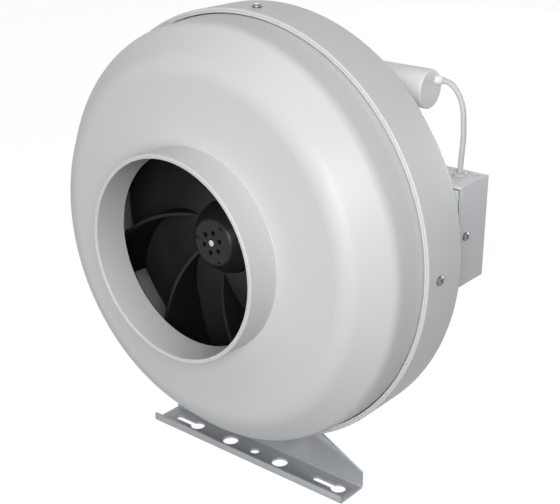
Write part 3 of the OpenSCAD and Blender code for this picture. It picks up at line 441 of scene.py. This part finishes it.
nodeFinish = {
    "grey_paint": casingPaint, "box_paint": boxCoverShadedPaint, "rotor_paint": rotorPaint,
    "galvanised": zincSheet, "steel": brightSteel, "cast_aluminium": castAluminium,
    "lamination": lamination, "winding": windingCopper, "brass": clampBrass,
    "black_plastic": blackPlastic, "white_plastic": whitePlastic, "pale_plastic": palePlastic,
    "white_rubber": whiteRubber, "dark_rubber": darkRubber,
}
for part in frame["record"]["subparts"]:
    cadMesh = cadNodes[part["node"]].data
    cadMesh.materials.clear()
    cadMesh.materials.append(nodeFinish[part["material_slot"]])
print("CAD nodes dressed")


def smoothRoute(points, parts):
    # soft curve through the given points
    points = [Vector(p) for p in points]
    out = []
    for i in range(len(points) - 1):
        a, b = points[i], points[i + 1]
        before = points[max(i - 1, 0)]
        after = points[min(i + 2, len(points) - 1)]
        for k in range(parts):
            t = k / parts
            out.append(0.5 * (2 * a + (b - before) * t
                              + (2 * before - 5 * a + 4 * b - after) * t * t
                              + (3 * a - before - 3 * b + after) * t ** 3))
    return out + [points[-1]]


def layCable(name, points, diameter, material):
    piece = tracePath(name, points)
    pick(piece)
    bpy.ops.object.convert(target="CURVE")
    piece = bpy.context.object
    piece.name = name
    piece.data.name = name
    piece.data.dimensions = "3D"
    piece.data.bevel_depth = diameter / 2 * mm
    piece.data.bevel_resolution = 5
    piece.data.use_fill_caps = True
    piece.data.splines[0].use_smooth = True
    piece.data.materials.append(material)
    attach(piece, "fan_body")
    return piece


capacitorLeadSetup = {
    "start": (117.5, 63.05, 323.8),   # at the boss on the capacitor's end
    "reach": 22.8,                    # out to the side
    "shift": 0.9,                     # towards the back
    "shiftEnd": 0.97,                 # share of the drop at which the shift is done
    "drop": 67.65,                    # down to the top of the box
    # shares of reach and drop
    "way": ((0, 0), (0.28, 0), (0.5, 0.02), (0.69, 0.07), (0.83, 0.13), (0.93, 0.2), (1, 0.29),
            (1.03, 0.4), (1.05, 0.51), (1.05, 0.63), (1.03, 0.75), (1.01, 0.87), (1, 0.97),
            (1, 1.12)),
    "diameter": 4.2,
}
lead = capacitorLeadSetup
leadWay = []
for out, down in lead["way"]:
    shift = min(down / lead["shiftEnd"], 1) * lead["shift"]
    leadWay.append(Vector(lead["start"]) + Vector((out * lead["reach"], shift,
                                                   -down * lead["drop"])))
capacitorLead = layCable("capacitorLead", smoothRoute(leadWay, parts=3), lead["diameter"],
                         whiteRubber)
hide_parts("capacitor_lead")

motorLeadSetup = {
    "level": 217.0,
    # across and along the fan axis
    "way": ((22, 16.526), (22, 20.526), (25, 23.526), (34.06, 24.526), (45.32, 24.526),
            (56.57, 24.526), (67.83, 24.526), (79.08, 24.526), (90.34, 24.526), (98.4, 25.526),
            (101.6, 29.026), (102.4, 33.526), (102.4, 42.75), (102.4, 50.75)),
    "diameter": 5.0,
}
motorWay = [(x, y, motorLeadSetup["level"]) for x, y in motorLeadSetup["way"]]
motorLead = layCable("motorLead", smoothRoute(motorWay, parts=3), motorLeadSetup["diameter"],
                     darkRubber)
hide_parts("motor_lead")
print("leads laid")


domeSetup = {
    "rim": 165.3,                        # skirt that slips into the band
    "skirtEnd": 2.45,
    "draft": -3.7,                       # lean of the side
    # the side opens a little to the hem
    "flank": ((165.3, -21.2), (164.85, -24.0), (164.5, -27.0)),
    "shoulder": ((151.46, -41.73), 12.1),
    "turn": -43.8,                       # along the straight slope from shoulder to brow
    "brow": ((128.1, -48.75), 24.1),
    "flare": ((79.3, -73.15), 0.3),
    "bead": ((77.75, -99.3), 1.25),      # outside of the lip
    "beadEnd": -130,
    "edge": ((76.35, -99.55), 0.85),     # turned-in edge of the lip
    "edgeArc": (-60, -178),
    "throat": ((75.6, -73.05), 0.6),     # where the straight inside ends
    "lapStart": 152.2,                   # where the inner side of the face begins
}
dome = domeSetup
sheet = layout["sheet"]
shoulderAt, shoulderR = dome["shoulder"]
browAt, browR = dome["brow"]
flareAt, flareR = dome["flare"]
beadAt, beadR = dome["bead"]
edgeAt, edgeR = dome["edge"]
throatAt, throatR = dome["throat"]
domeOutline = [(dome["rim"], dome["skirtEnd"])] + list(dome["flank"])
domeOutline += arc(shoulderAt, shoulderR, dome["draft"], dome["turn"], 14)
domeOutline += arc(browAt, browR, dome["turn"], -90, 18)
domeOutline += arc(flareAt, flareR, 90, 180, 8)
domeOutline += arc(beadAt, beadR, 0, dome["beadEnd"], 10)
domeOutline += arc(edgeAt, edgeR, *dome["edgeArc"], 10)
domeOutline += arc(throatAt, throatR, -180, -270, 8)
domeOutline += arc(flareAt, flareR + sheet, dome["lapStart"], 90, 6)
domeOutline += arc(browAt, browR - sheet, -90, dome["turn"], 18)
domeOutline += arc(shoulderAt, shoulderR - sheet, dome["turn"], dome["draft"], 14)
domeOutline += [(radius - sheet, y) for radius, y in reversed(dome["flank"])]
domeOutline += [(dome["rim"] - sheet, dome["skirtEnd"])]
domeShell = fanSpin("domeShell", domeOutline, steps=200)
finishPiece(domeShell, "domeShell", "fan_body", casingPaint,
            ("front_casing", "inlet_spigot"), smoothAngle=32)
print("dome spun")


rearSetup = {
    "bead": ((168.6, -19.2), 1.4),       # outside of the hem round the band's front edge
    "beadStart": -140,
    "fold": ((166.85, -19.6), 0.85),     # inside of the hem
    "foldArc": (180, 325),
    "hemDepth": 4.0,
    "bend": ((166.0, 20.55), 4.0),
    "lean": 52.4,                        # slope from the band to the back
    "corner": ((145.52, 28.75), 10.0),
    "flare": ((80.5, 40.25), 1.5),
    "lip": ((76.9, 64.35), 2.1),
    "lipEnd": 295.4,
}
rear = rearSetup
hemBack = layout["bandFront"] + rear["hemDepth"]
beadAt, beadR = rear["bead"]
foldAt, foldR = rear["fold"]
bendAt, bendR = rear["bend"]
cornerAt, cornerR = rear["corner"]
flareAt, flareR = rear["flare"]
lipAt, lipR = rear["lip"]
rearOutline = arc(beadAt, beadR, rear["beadStart"], 0, 10)
rearOutline += arc(bendAt, bendR, 0, rear["lean"], 8)
rearOutline += arc(cornerAt, cornerR, rear["lean"], 90, 10)
rearOutline += arc(flareAt, flareR, -90, -180, 8)
rearOutline += arc(lipAt, lipR, 0, rear["lipEnd"], 20)
rearOutline += arc(flareAt, flareR + sheet, -180, -90, 8)
rearOutline += arc(cornerAt, cornerR - sheet, 90, rear["lean"], 10)
rearOutline += arc(bendAt, bendR - sheet, rear["lean"], 0, 8)
rearOutline += [(layout["bandRadius"] - sheet, hemBack), (foldAt[0] - foldR, hemBack)]
rearOutline += arc(foldAt, foldR, *rear["foldArc"], 10)
rearShell = fanSpin("rearShell", rearOutline, steps=200)
finishPiece(rearShell, "rearShell", "fan_body", casingPaint,
            ("rear_casing", "outlet_spigot"), smoothAngle=32)
print("rear shell spun")


footSetup = {
    "halfLength": 101.8,
    "middle": 1.0,                       # to the right of the fan axis
    "front": -24.6,
    "back": 6.2,
    "sheet": 2.0,
    "bend": 3.0,
    "lipHeight": 7.6,
    "wallTop": 66.0,                     # rear wall before its top is cut
    "endHeight": 15.0,                   # rear wall at its ends
    "slant": 0.5,                        # rise of its top towards the middle
    "saddleRadius": 170.3,
    "saddleHalf": 38.0,
    "saddleFront": -15.45,
    "saddleLevels": (10.0, 100.0),       # part of the full ring that is kept
    "cutReach": 60.0,                    # of the cutters, along the fan axis
    "holeLine": -9.05,
    "holeMiddle": 2.0,
    "bigHole": (13.6, 27.3),             # diameter, distance from the middle
    "middleHole": 8.0,
    "keyhole": (12.2, 6.2, 22.0, 76.7),  # eye, slot width, run, distance from the middle
    "drill": 8.0,                        # length of the hole cutters
    "edge": 0.35,
}
foot = footSetup
inBend = foot["bend"] - foot["sheet"]
frontBend = (foot["front"] + foot["bend"], foot["bend"])
backBend = (foot["back"] - foot["bend"], foot["bend"])
footLow = foot["middle"] - foot["halfLength"]
footOutline = [(foot["front"], foot["lipHeight"])]
footOutline += arc(frontBend, foot["bend"], 180, 270, 6)
footOutline += arc(backBend, foot["bend"], 270, 360, 6)
footOutline += [(foot["back"], foot["wallTop"]), (foot["back"] - foot["sheet"], foot["wallTop"])]
footOutline += arc(backBend, inBend, 0, -90, 4)
footOutline += arc(frontBend, inBend, 270, 180, 4)
footOutline += [(foot["front"] + foot["sheet"], foot["lipHeight"])]
footBracket = extrudeOutline("footBracket", [(footLow, y, z) for y, z in footOutline],
                             (2 * foot["halfLength"], 0, 0))
pick(footBracket)
bpy.ops.object.mode_set(mode="EDIT")
for side in (-1, 1):
    wallEnd = (foot["middle"] + side * foot["halfLength"]) * mm
    bpy.ops.mesh.select_all(action="SELECT")
    bpy.ops.mesh.bisect(plane_co=(wallEnd, 0, foot["endHeight"] * mm),
                        plane_no=(side * foot["slant"], 0, 1), use_fill=True, clear_outer=True)
bpy.ops.object.mode_set(mode="OBJECT")
saddleMid = (foot["saddleFront"] + foot["back"]) / 2
saddle = rod("saddle", (0, saddleMid, layout["axisHeight"]), fanAxis,
             2 * (foot["saddleRadius"] + foot["sheet"]), foot["back"] - foot["saddleFront"],
             sides=320)
saddleLow, saddleHigh = foot["saddleLevels"]
saddleTrim = block("saddleTrim", (-foot["saddleHalf"], -foot["cutReach"], saddleLow),
                   (foot["saddleHalf"], foot["cutReach"], saddleHigh))
cutWith(saddle, saddleTrim, "INTERSECT")
cutWith(footBracket, saddle, "UNION")
cutWith(footBracket, rod("bandCut", fanCentre, fanAxis, 2 * foot["saddleRadius"],
                         2 * foot["cutReach"], sides=320))
holeX, holeY, holeZ = foot["holeMiddle"], foot["holeLine"], foot["sheet"] / 2
bigD, bigX = foot["bigHole"]
eyeD, slotW, keyRun, keyX = foot["keyhole"]
drillHalf = foot["drill"] / 2


def footHole(name, x, diameter, sides=64):
    cutWith(footBracket, rod(name, (x, holeY, holeZ), upAxis, diameter, foot["drill"], sides))


for side in (-1, 1):
    footHole("bigHole", holeX + side * bigX, bigD)
    eyeX = holeX + side * keyX + keyRun / 2
    footHole("keyEye", eyeX, eyeD)
    cutWith(footBracket, block("keySlot", (eyeX - keyRun, holeY - slotW / 2, holeZ - drillHalf),
                               (eyeX, holeY + slotW / 2, holeZ + drillHalf)))
    footHole("keyEnd", eyeX - keyRun, slotW, sides=32)
footHole("middleHole", holeX, foot["middleHole"])
softenEdges(footBracket, foot["edge"])
finishPiece(footBracket, "footBracket", "fan_body", zincSheet, ("mounting_foot",))
print("foot folded and drilled")


screwSetup = {
    "casing": (7.4, 2.66, 4.0, 8.0),     # head diameter, head height, thread, length
    "box": (6.6, 2.5, 3.5, 6.0),
    "domeShare": 0.45,                   # of the head's height
    "chamfer": 0.4,                      # at the end of the thread
    "recessTurns": (45, 135),
    "recess": (0.3, 0.07),               # half length and half width, in head diameters
    "recessFloor": 0.4,                  # in head heights
    "edge": 0.18,
    "bandAngles": (0, 88, 180),
    "footScrew": (268, 172.3),           # angle, distance of its seat from the axis
    "boxSides": ((92.0, -1), (157.6, 1)),
    "boxLine": 47.05,
    "boxLevel": 217.0,
}


def panScrew(name, size):
    # pan head with a cross recess, standing on the origin along Z
    headD, headH, threadD, length = size
    headR, threadR = headD / 2, threadD / 2
    domeH = headH * screwSetup["domeShare"]
    ball = (headR * headR + domeH * domeH) / (2 * domeH)
    span = math.degrees(math.asin(headR / ball))
    chamfer = screwSetup["chamfer"]
    outline = [(0, -length), (threadR - chamfer, -length), (threadR, -length + chamfer),
               (threadR, 0), (headR, 0)]
    outline += arc((0, headH - ball), ball, 90 - span, 90, 10)
    piece = spinSolid(name, [(x, 0, z) for x, z in outline], (0, 0, 0), upAxis,
                      steps=40)
    recessX, recessY = (share * headD for share in screwSetup["recess"])
    for turn in screwSetup["recessTurns"]:
        slot = block("recess", (-recessX, -recessY, headH * screwSetup["recessFloor"]),
                     (recessX, recessY, headH * 2))
        slot.data.transform(Matrix.Rotation(math.radians(turn), 4, "Z"))
        cutWith(piece, slot)
    softenEdges(piece, screwSetup["edge"])
    return piece


casingScrew = panScrew("casingScrew", screwSetup["casing"])
bandSeats = [(angle, layout["bandRadius"]) for angle in screwSetup["bandAngles"]]
bandScrews = []
for angle, seat in bandSeats + [screwSetup["footScrew"]]:
    a = math.radians(angle)
    outward = Vector((math.cos(a), 0, math.sin(a)))
    place = (outward * seat + Vector((0, layout["screwLine"], layout["axisHeight"]))) * mm
    turn = Vector(upAxis).rotation_difference(outward).to_matrix().to_4x4()
    bandScrews.append(copyTo(casingScrew, "bandScrew", Matrix.Translation(place) @ turn))
bpy.data.objects.remove(casingScrew)
finishPiece(joinAll(bandScrews), "bandScrews", "fan_body", screwZinc, ("casing_screws",))

boxScrew = panScrew("boxScrew", screwSetup["box"])
boxScrews = []
for x, side in screwSetup["boxSides"]:
    turn = Matrix.Rotation(math.radians(90 * side), 4, "Y")
    place = Vector((x, screwSetup["boxLine"], screwSetup["boxLevel"])) * mm
    boxScrews.append(copyTo(boxScrew, "coverScrew", Matrix.Translation(place) @ turn))
bpy.data.objects.remove(boxScrew)
finishPiece(joinAll(boxScrews), "coverScrews", "fan_body", screwZinc,
            ("terminal_box_screws",))
print("screws set")


impellerSetup = {
    "rim": 124.0,
    "rimRound": 0.9,
    "plate": (-20.55, 2.5),              # front of the back plate, its thickness
    "coneTip": (28.3, -37.55),
    "tipRound": (1.2, 1.35),             # radius, centre behind the tip
    "tipArc": (195, 285),
    "tipDepth": 3.0,
    "coneFoot": 87.0,
    # soft change from cone to plate, from the cone's foot and the plate's front
    "coneBlend": ((-6, -1.74), (-2, -0.7), (3, 0)),
    "collar": (46.1, 49.1, -30.6, -7.6),   # inside, outside, front, back
    "blades": 7,
    "firstAngle": 160.0,
    "bladeArc": ((9.456, 72.881), 76.0, -75.5, 17.0),   # centre, radius, ends of the arc
    "bladeSheet": 2.5,
    "bladeBlank": (-70.0, 55.0),         # front and length before the blade is trimmed
    "bladeRoot": ((29.0, -36.3), (29.0, -36.92)),
    "eye": (89.0, -60.95),
    "bladeTip": (123.4, -38.93),
    "bladeEdge": 0.6,
}
wheel = impellerSetup
plateY, plateT = wheel["plate"]
tipR, tipY = wheel["coneTip"]
tipRound, tipBack = wheel["tipRound"]
rimRound, coneFoot = wheel["rimRound"], wheel["coneFoot"]
rimIn = wheel["rim"] - rimRound
hubOutline = arc((tipR + tipRound, tipY + tipBack), tipRound, *wheel["tipArc"], 5)
hubOutline += [(coneFoot + out, plateY + back) for out, back in wheel["coneBlend"]]
hubOutline += arc((rimIn, plateY + rimRound), rimRound, -90, 0, 4)
hubOutline += arc((rimIn, plateY + plateT - rimRound), rimRound, 0, 90, 4)
hubOutline += [(coneFoot, plateY + plateT), (tipR, tipY + wheel["tipDepth"])]
impellerHub = fanSpin("impellerHub", hubOutline, steps=160)
collarIn, collarOut, collarFront, collarBack = wheel["collar"]
collarOutline = [(collarIn, collarFront), (collarOut, collarFront), (collarOut, collarBack),
                 (collarIn, collarBack)]
impellerCollar = fanSpin("impellerCollar", collarOutline, steps=96)

arcAt, arcR, arcStart, arcEnd = wheel["bladeArc"]
bladeHalf = wheel["bladeSheet"] / 2
blankFront, blankLength = wheel["bladeBlank"]
bladePlan = arc(arcAt, arcR + bladeHalf, arcStart, arcEnd, 28)
bladePlan += arc(arcAt, arcR - bladeHalf, arcEnd, arcStart, 28)
blade = extrudeOutline("blade", [(x, blankFront, layout["axisHeight"] + z) for x, z in bladePlan],
                       (0, blankLength, 0))
plateMid = plateY + plateT / 2
spaceOutline = [*wheel["bladeRoot"], wheel["eye"], wheel["bladeTip"],
                (wheel["bladeTip"][0], plateMid), (coneFoot, plateMid)]
cutWith(blade, fanSpin("bladeSpace", spaceOutline, steps=160), "INTERSECT")
softenEdges(blade, wheel["bladeEdge"])
# the blades take the darker copy of the black plastic, painted shade on their faces
blade.data.materials.append(shadedBladePlastic)
wheelParts = [impellerHub, impellerCollar]
for part in wheelParts:
    part.data.materials.append(blackPlastic)
for k in range(wheel["blades"]):
    angle = wheel["firstAngle"] + 360.0 * k / wheel["blades"]
    wheelParts.append(copyTo(blade, "bladeCopy", fanTurn(angle)))
bpy.data.objects.remove(blade)
finishPiece(joinAll(wheelParts), "impellerWheel", "rotor", None, ("impeller",))
print("impeller built")


noseSetup = {
    "can": (46.0, -29.17, 6.83),         # radius, front, back
    "wall": 2.5,
    "bend": 1.5,                         # at the can's front edge and where the nose leaves it
    "root": (27.7, -41.37),
    "rootRound": (2.5, 0.9),             # radius, centre behind the root
    "lean": -37,                         # of the cone between root and face
    "face": (20.4, -53.77),
    "round": 4.4,
    "shaftHole": (2.45, 0.5),            # radius, chamfer
    "hollow": 1.0,                       # start of the straight inside, behind the root
    "vents": (6, 4.0, 8.2, 20.0),        # count, diameter, distance from the axis, first angle
    "ventDepth": 8.0,
    "slotAngles": (55.0, 175.0, 295.0),
    "slot": (15.4, 1.4, 1.6),            # distance from the axis, width, half length
    "slotReach": (-2.0, 1.8),            # front and back, from the face
    "edge": 0.4,
}
nose = noseSetup
canR, canFront, canBack = nose["can"]
rootR, rootY = nose["root"]
rootRound, rootBack = nose["rootRound"]
faceR, faceY = nose["face"]
holeR, holeChamfer = nose["shaftHole"]
bend, wall, lean = nose["bend"], nose["wall"], nose["lean"]
roundR = faceR - nose["round"]
noseOutline = [(canR, canBack)]
noseOutline += arc((canR - bend, canFront + bend), bend, 0, -90, 5)
noseOutline += arc((rootR + bend, canFront - bend), bend, 90, 180, 5)
noseOutline += arc((rootR - rootRound, rootY + rootBack), rootRound, 0, lean, 4)
noseOutline += arc((roundR, faceY + nose["round"]), nose["round"], lean, -90, 12)
noseOutline += [(holeR + holeChamfer, faceY), (holeR, faceY + holeChamfer),
                (holeR, faceY + wall), (roundR, faceY + wall),
                (rootR - wall, rootY + nose["hollow"]), (rootR - wall, canFront + wall),
                (canR - wall, canFront + wall), (canR - wall, canBack)]
rotorNose = fanSpin("rotorNose", noseOutline, steps=144)
ventCount, ventD, ventR, ventAngle = nose["vents"]
for k in range(ventCount):
    a = math.radians(ventAngle + 360.0 * k / ventCount)
    at = (ventR * math.cos(a), faceY, layout["axisHeight"] + ventR * math.sin(a))
    cutWith(rotorNose, rod("vent", at, fanAxis, ventD, nose["ventDepth"], sides=32))
slotR, slotW, slotHalf = nose["slot"]
slotFront, slotBack = nose["slotReach"]
for angle in nose["slotAngles"]:
    slot = block("slot", (slotR, faceY + slotFront, layout["axisHeight"] - slotHalf),
                 (slotR + slotW, faceY + slotBack, layout["axisHeight"] + slotHalf))
    slot.data.transform(fanTurn(angle))
    cutWith(rotorNose, slot)
softenEdges(rotorNose, nose["edge"], angle=50)
finishPiece(rotorNose, "rotorNose", "rotor", rotorPaint, ("rotor_cup",),
            smoothAngle=28)
print("rotor nose turned")


boxSetup = {
    "x": (92.0, 157.6),
    "y": (38.75, 77.05),
    "z": (177.85, 256.15),
    "sheet": 1.0,
    "gap": 0.2,
    "bend": 1.6,
    "leadHole": (140.3, 63.95, 8.4),     # x, y, diameter
    "glandHole": (126.8, 57.9, 16.5),
    "slot": (4.7, 70.2, 2.0),            # from the ends, along the fan axis, width
    "cutReach": 3.0,                     # of slot and holes, past the sheet's outside
    "seam": (2.0, 0.9, 1.4),             # slit inside the front edges: from the edge, width, depth
    "seamReach": 1.0,                    # of its cutters, past the box
    "seamLap": 0.01,                     # of the upright slits over the level one
    "tab": (0.5, 14.3),                  # front and back, from the box's front
    "tabLevels": (207.0, 227.0),
    "coverEdge": 0.22,
    "baseEdge": 0.2,
}
box = boxSetup
(boxIn, boxOut), (boxFront, boxRear), (boxLow, boxTop) = box["x"], box["y"], box["z"]
boxSheet, bend = box["sheet"], box["bend"]
inBend = bend - boxSheet
coverFront = boxFront + box["gap"]
innerBend, outerBend = (boxIn + bend, boxRear - bend), (boxOut - bend, boxRear - bend)
coverOutline = [(boxIn, coverFront)]
coverOutline += arc(innerBend, bend, 180, 90, 6) + arc(outerBend, bend, 90, 0, 6)
coverOutline += [(boxOut, coverFront), (boxOut - boxSheet, coverFront)]
coverOutline += arc(outerBend, inBend, 0, 90, 4) + arc(innerBend, inBend, 90, 180, 4)
coverOutline += [(boxIn + boxSheet, coverFront)]
boxCover = extrudeOutline("boxCover", [(x, y, boxLow) for x, y in coverOutline],
                          (0, 0, boxTop - boxLow))
softenEdges(boxCover, box["coverEdge"])
# the cover takes the darker box paint, partly painted shade on its sides
finishPiece(boxCover, "boxCover", "fan_body", boxCoverShadedPaint, ("terminal_box_cover",))

sideIn, sideOut = boxIn + boxSheet + box["gap"], boxOut - boxSheet - box["gap"]
reach = boxRear - boxSheet - box["gap"]
upperBend, lowerBend = (boxFront + bend, boxTop - bend), (boxFront + bend, boxLow + bend)
baseOutline = [(reach, boxTop)]
baseOutline += arc(upperBend, bend, 90, 180, 6) + arc(lowerBend, bend, 180, 270, 6)
baseOutline += [(reach, boxLow), (reach, boxLow + boxSheet)]
baseOutline += arc(lowerBend, inBend, 270, 180, 4) + arc(upperBend, inBend, 180, 90, 4)
baseOutline += [(reach, boxTop - boxSheet)]
boxBase = extrudeOutline("boxBase", [(sideIn, y, z) for y, z in baseOutline],
                         (sideOut - sideIn, 0, 0))
cutReach = box["cutReach"]
for (x, y, holeD), z in ((box["leadHole"], boxTop), (box["glandHole"], boxLow)):
    cutWith(boxBase, rod("hole", (x, y, z), upAxis, holeD, 2 * cutReach, sides=48))
slotEnd, slotY, slotW = box["slot"]
cutWith(boxBase, block("slot", (sideIn + slotEnd, slotY, boxTop - cutReach),
                       (sideOut - slotEnd, slotY + slotW, boxTop + cutReach)))
seamAt, seamW, seamD = box["seam"]
seamReach, seamLap = box["seamReach"], box["seamLap"]
seamFront, seamBack, seamTop = boxFront - seamReach, boxFront + seamD, boxTop - seamAt
cutWith(boxBase, block("seam", (boxIn + seamAt, seamFront, seamTop - seamW),
                       (boxOut - seamAt, seamBack, seamTop)))
for edge in (boxIn + seamAt, boxOut - seamAt - seamW):
    cutWith(boxBase, block("seam", (edge - seamLap, seamFront, boxLow - seamReach),
                           (edge + seamW + seamLap, seamBack, seamTop)))
tabFront, tabBack = box["tab"]
tabLow, tabHigh = box["tabLevels"]
tabs = [block("tab", (x, boxFront + tabFront, tabLow), (x + boxSheet, boxFront + tabBack, tabHigh))
        for x in (sideIn, sideOut - boxSheet)]
softenEdges(boxBase, box["baseEdge"])
finishPiece(joinAll([boxBase] + tabs), "boxBase", "fan_body", boxBasePaint,
            ("terminal_box_base",))
print("terminal box folded")


capacitorSetup = {
    "axis": (55.05, 318.3),              # y, z
    "ends": (47.5, 117.5),
    "radius": 14.5,
    "rounds": (1.0, 1.4),                # at the inner and the outer end
    "leadHole": 4.4,
    "boss": (63.05, 323.8),              # y, z
    # radius, and distance from the capacitor's end
    "bossShape": ((3.6, 0), (3.6, 0.8), (3.3, 1.4), (2.9, 4.4)),
    "bossRound": ((2.6, 4.7), 0.3),
    "bossLength": 5.0,
    "grommet": (140.3, 63.95),           # x, y on top of the box
    # radius, and height over the top of the box
    "grommetEnds": (-2.9, 1.9),
    "grommetShape": ((6.0, -2.9), (6.0, -1.0), (4.1, -1.0), (4.1, 0), (5.4, 0)),
    "grommetRound": ((4.6, 0.6), 0.8, 70),   # centre, radius, end of the arc
    "grommetNeck": 3.0,
}
cap = capacitorSetup
(capY, capZ), (capIn, capOut), capR = cap["axis"], cap["ends"], cap["radius"]
inRound, outRound = cap["rounds"]
capOutline = [(0, capIn)] + arc((capR - inRound, capIn + inRound), inRound, -90, 0, 5)
capOutline += arc((capR - outRound, capOut - outRound), outRound, 0, 90, 8) + [(0, capOut)]
capacitorBody = spinSolid("capacitorBody", [(x, capY, capZ + r) for r, x in capOutline],
                          (0, capY, capZ), sideAxis, steps=128)
finishPiece(capacitorBody, "capacitorBody", "fan_body", palePlastic,
            ("capacitor_can",))

bossY, bossZ = cap["boss"]
leadR = cap["leadHole"] / 2
(roundAt, roundX), roundR = cap["bossRound"]
bossOutline = [(leadR, capOut)] + [(r, capOut + x) for r, x in cap["bossShape"]]
bossOutline += arc((roundAt, capOut + roundX), roundR, 0, 90, 3)
bossOutline += [(leadR, capOut + cap["bossLength"])]
leadBoss = spinSolid("leadBoss", [(x, bossY, bossZ + r) for r, x in bossOutline],
                     (0, bossY, bossZ), sideAxis, steps=48)
finishPiece(leadBoss, "leadBoss", "fan_body", whitePlastic, ("capacitor_boss",))

gromX, gromY = cap["grommet"]
gromLow, gromHigh = cap["grommetEnds"]
(roundAt, roundZ), roundR, roundEnd = cap["grommetRound"]
gromOutline = [(leadR, boxTop + gromHigh), (leadR, boxTop + gromLow)]
gromOutline += [(r, boxTop + z) for r, z in cap["grommetShape"]]
gromOutline += arc((roundAt, boxTop + roundZ), roundR, 0, roundEnd, 5)
gromOutline += [(cap["grommetNeck"], boxTop + gromHigh)]
leadGrommet = spinSolid("leadGrommet", [(gromX + r, gromY, z) for r, z in gromOutline],
                        (gromX, gromY, 0), upAxis, steps=48)
finishPiece(leadGrommet, "leadGrommet", "fan_body", greyRubber, ("lead_grommet",))
print("capacitor and its fittings turned")


lightSetup = {
    "ambient": 0.2,
    "floorSize": 14,                     # metres
    "floorTone": 0.12,
    "floorRoughness": 0.9,
    "floorGlow": 0.94,                   # as the camera sees it
    "aim": (0, 0, 0.2),                  # metres
    # place and width in metres, power in watts
    "lamps": {
        "key": ((1.0, -1.2, 0.85), 0.6, 13.3),
        "front": ((0.85, -1.40, 0.55), 0.9, 8.7),
        "top": ((0.3, -0.7, 2.1), 1.2, 8.4),
        "low": ((0.4, -1.5, 0.15), 0.8, 5.8),
        "back": ((0.7, 2.3, 0.5), 0.9, 16.0),
        "rear": ((-0.5, 2.2, 0.12), 0.2, 22.0),
    },
}


def softLamp(name, place, size, power):
    deselectAll()
    turn = (Vector(place) - Vector(lightSetup["aim"])).to_track_quat("Z", "Y").to_euler()
    bpy.ops.object.light_add(type="AREA", location=place, rotation=turn)
    lamp = bpy.context.object
    lamp.name = name
    lamp.data.energy = power
    lamp.data.size = size
    lamp.visible_camera = False


for lampName, lampValues in lightSetup["lamps"].items():
    softLamp(lampName + "Lamp", *lampValues)


def backgroundRays(tree):
    # 1 for rays that should see the plain white surroundings
    path = tree.nodes.new("ShaderNodeLightPath")
    seen = mathNode(tree, "MAXIMUM", path.outputs["Is Camera Ray"], path.outputs["Is Glossy Ray"])
    return mathNode(tree, "MAXIMUM", seen, path.outputs["Is Transmission Ray"])


ambient = lightSetup["ambient"]
studio = bpy.data.worlds.new("studio")
bpy.context.scene.world = studio
studio.use_nodes = True
sky = studio.node_tree
skyShader = sky.nodes["Background"]
skyShader.inputs["Color"].default_value = (1, 1, 1, 1)
skyStrength = mathNode(sky, "MULTIPLY_ADD", backgroundRays(sky), 1 - ambient, ambient)
sky.links.new(skyStrength, skyShader.inputs["Strength"])

deselectAll()
bpy.ops.mesh.primitive_plane_add(size=lightSetup["floorSize"], location=(0, 0, 0))
floor = bpy.context.object
floor.name = "paleFloor"
floorPaint = bpy.data.materials.new("floorPaint")
floorPaint.use_nodes = True
floorTree = floorPaint.node_tree
floorShader = floorTree.nodes["Principled BSDF"]
floorShader.inputs["Base Color"].default_value = (*[lightSetup["floorTone"]] * 3, 1)
floorShader.inputs["Roughness"].default_value = lightSetup["floorRoughness"]
floorShader.inputs["Specular IOR Level"].default_value = 0.0
floorShader.inputs["Emission Color"].default_value = (1, 1, 1, 1)
floorGlow = mathNode(floorTree, "MULTIPLY", backgroundRays(floorTree), lightSetup["floorGlow"])
floorTree.links.new(floorGlow, floorShader.inputs["Emission Strength"])
floor.data.materials.append(floorPaint)
bpy.context.scene.view_settings.view_transform = "Standard"
print("studio lit")
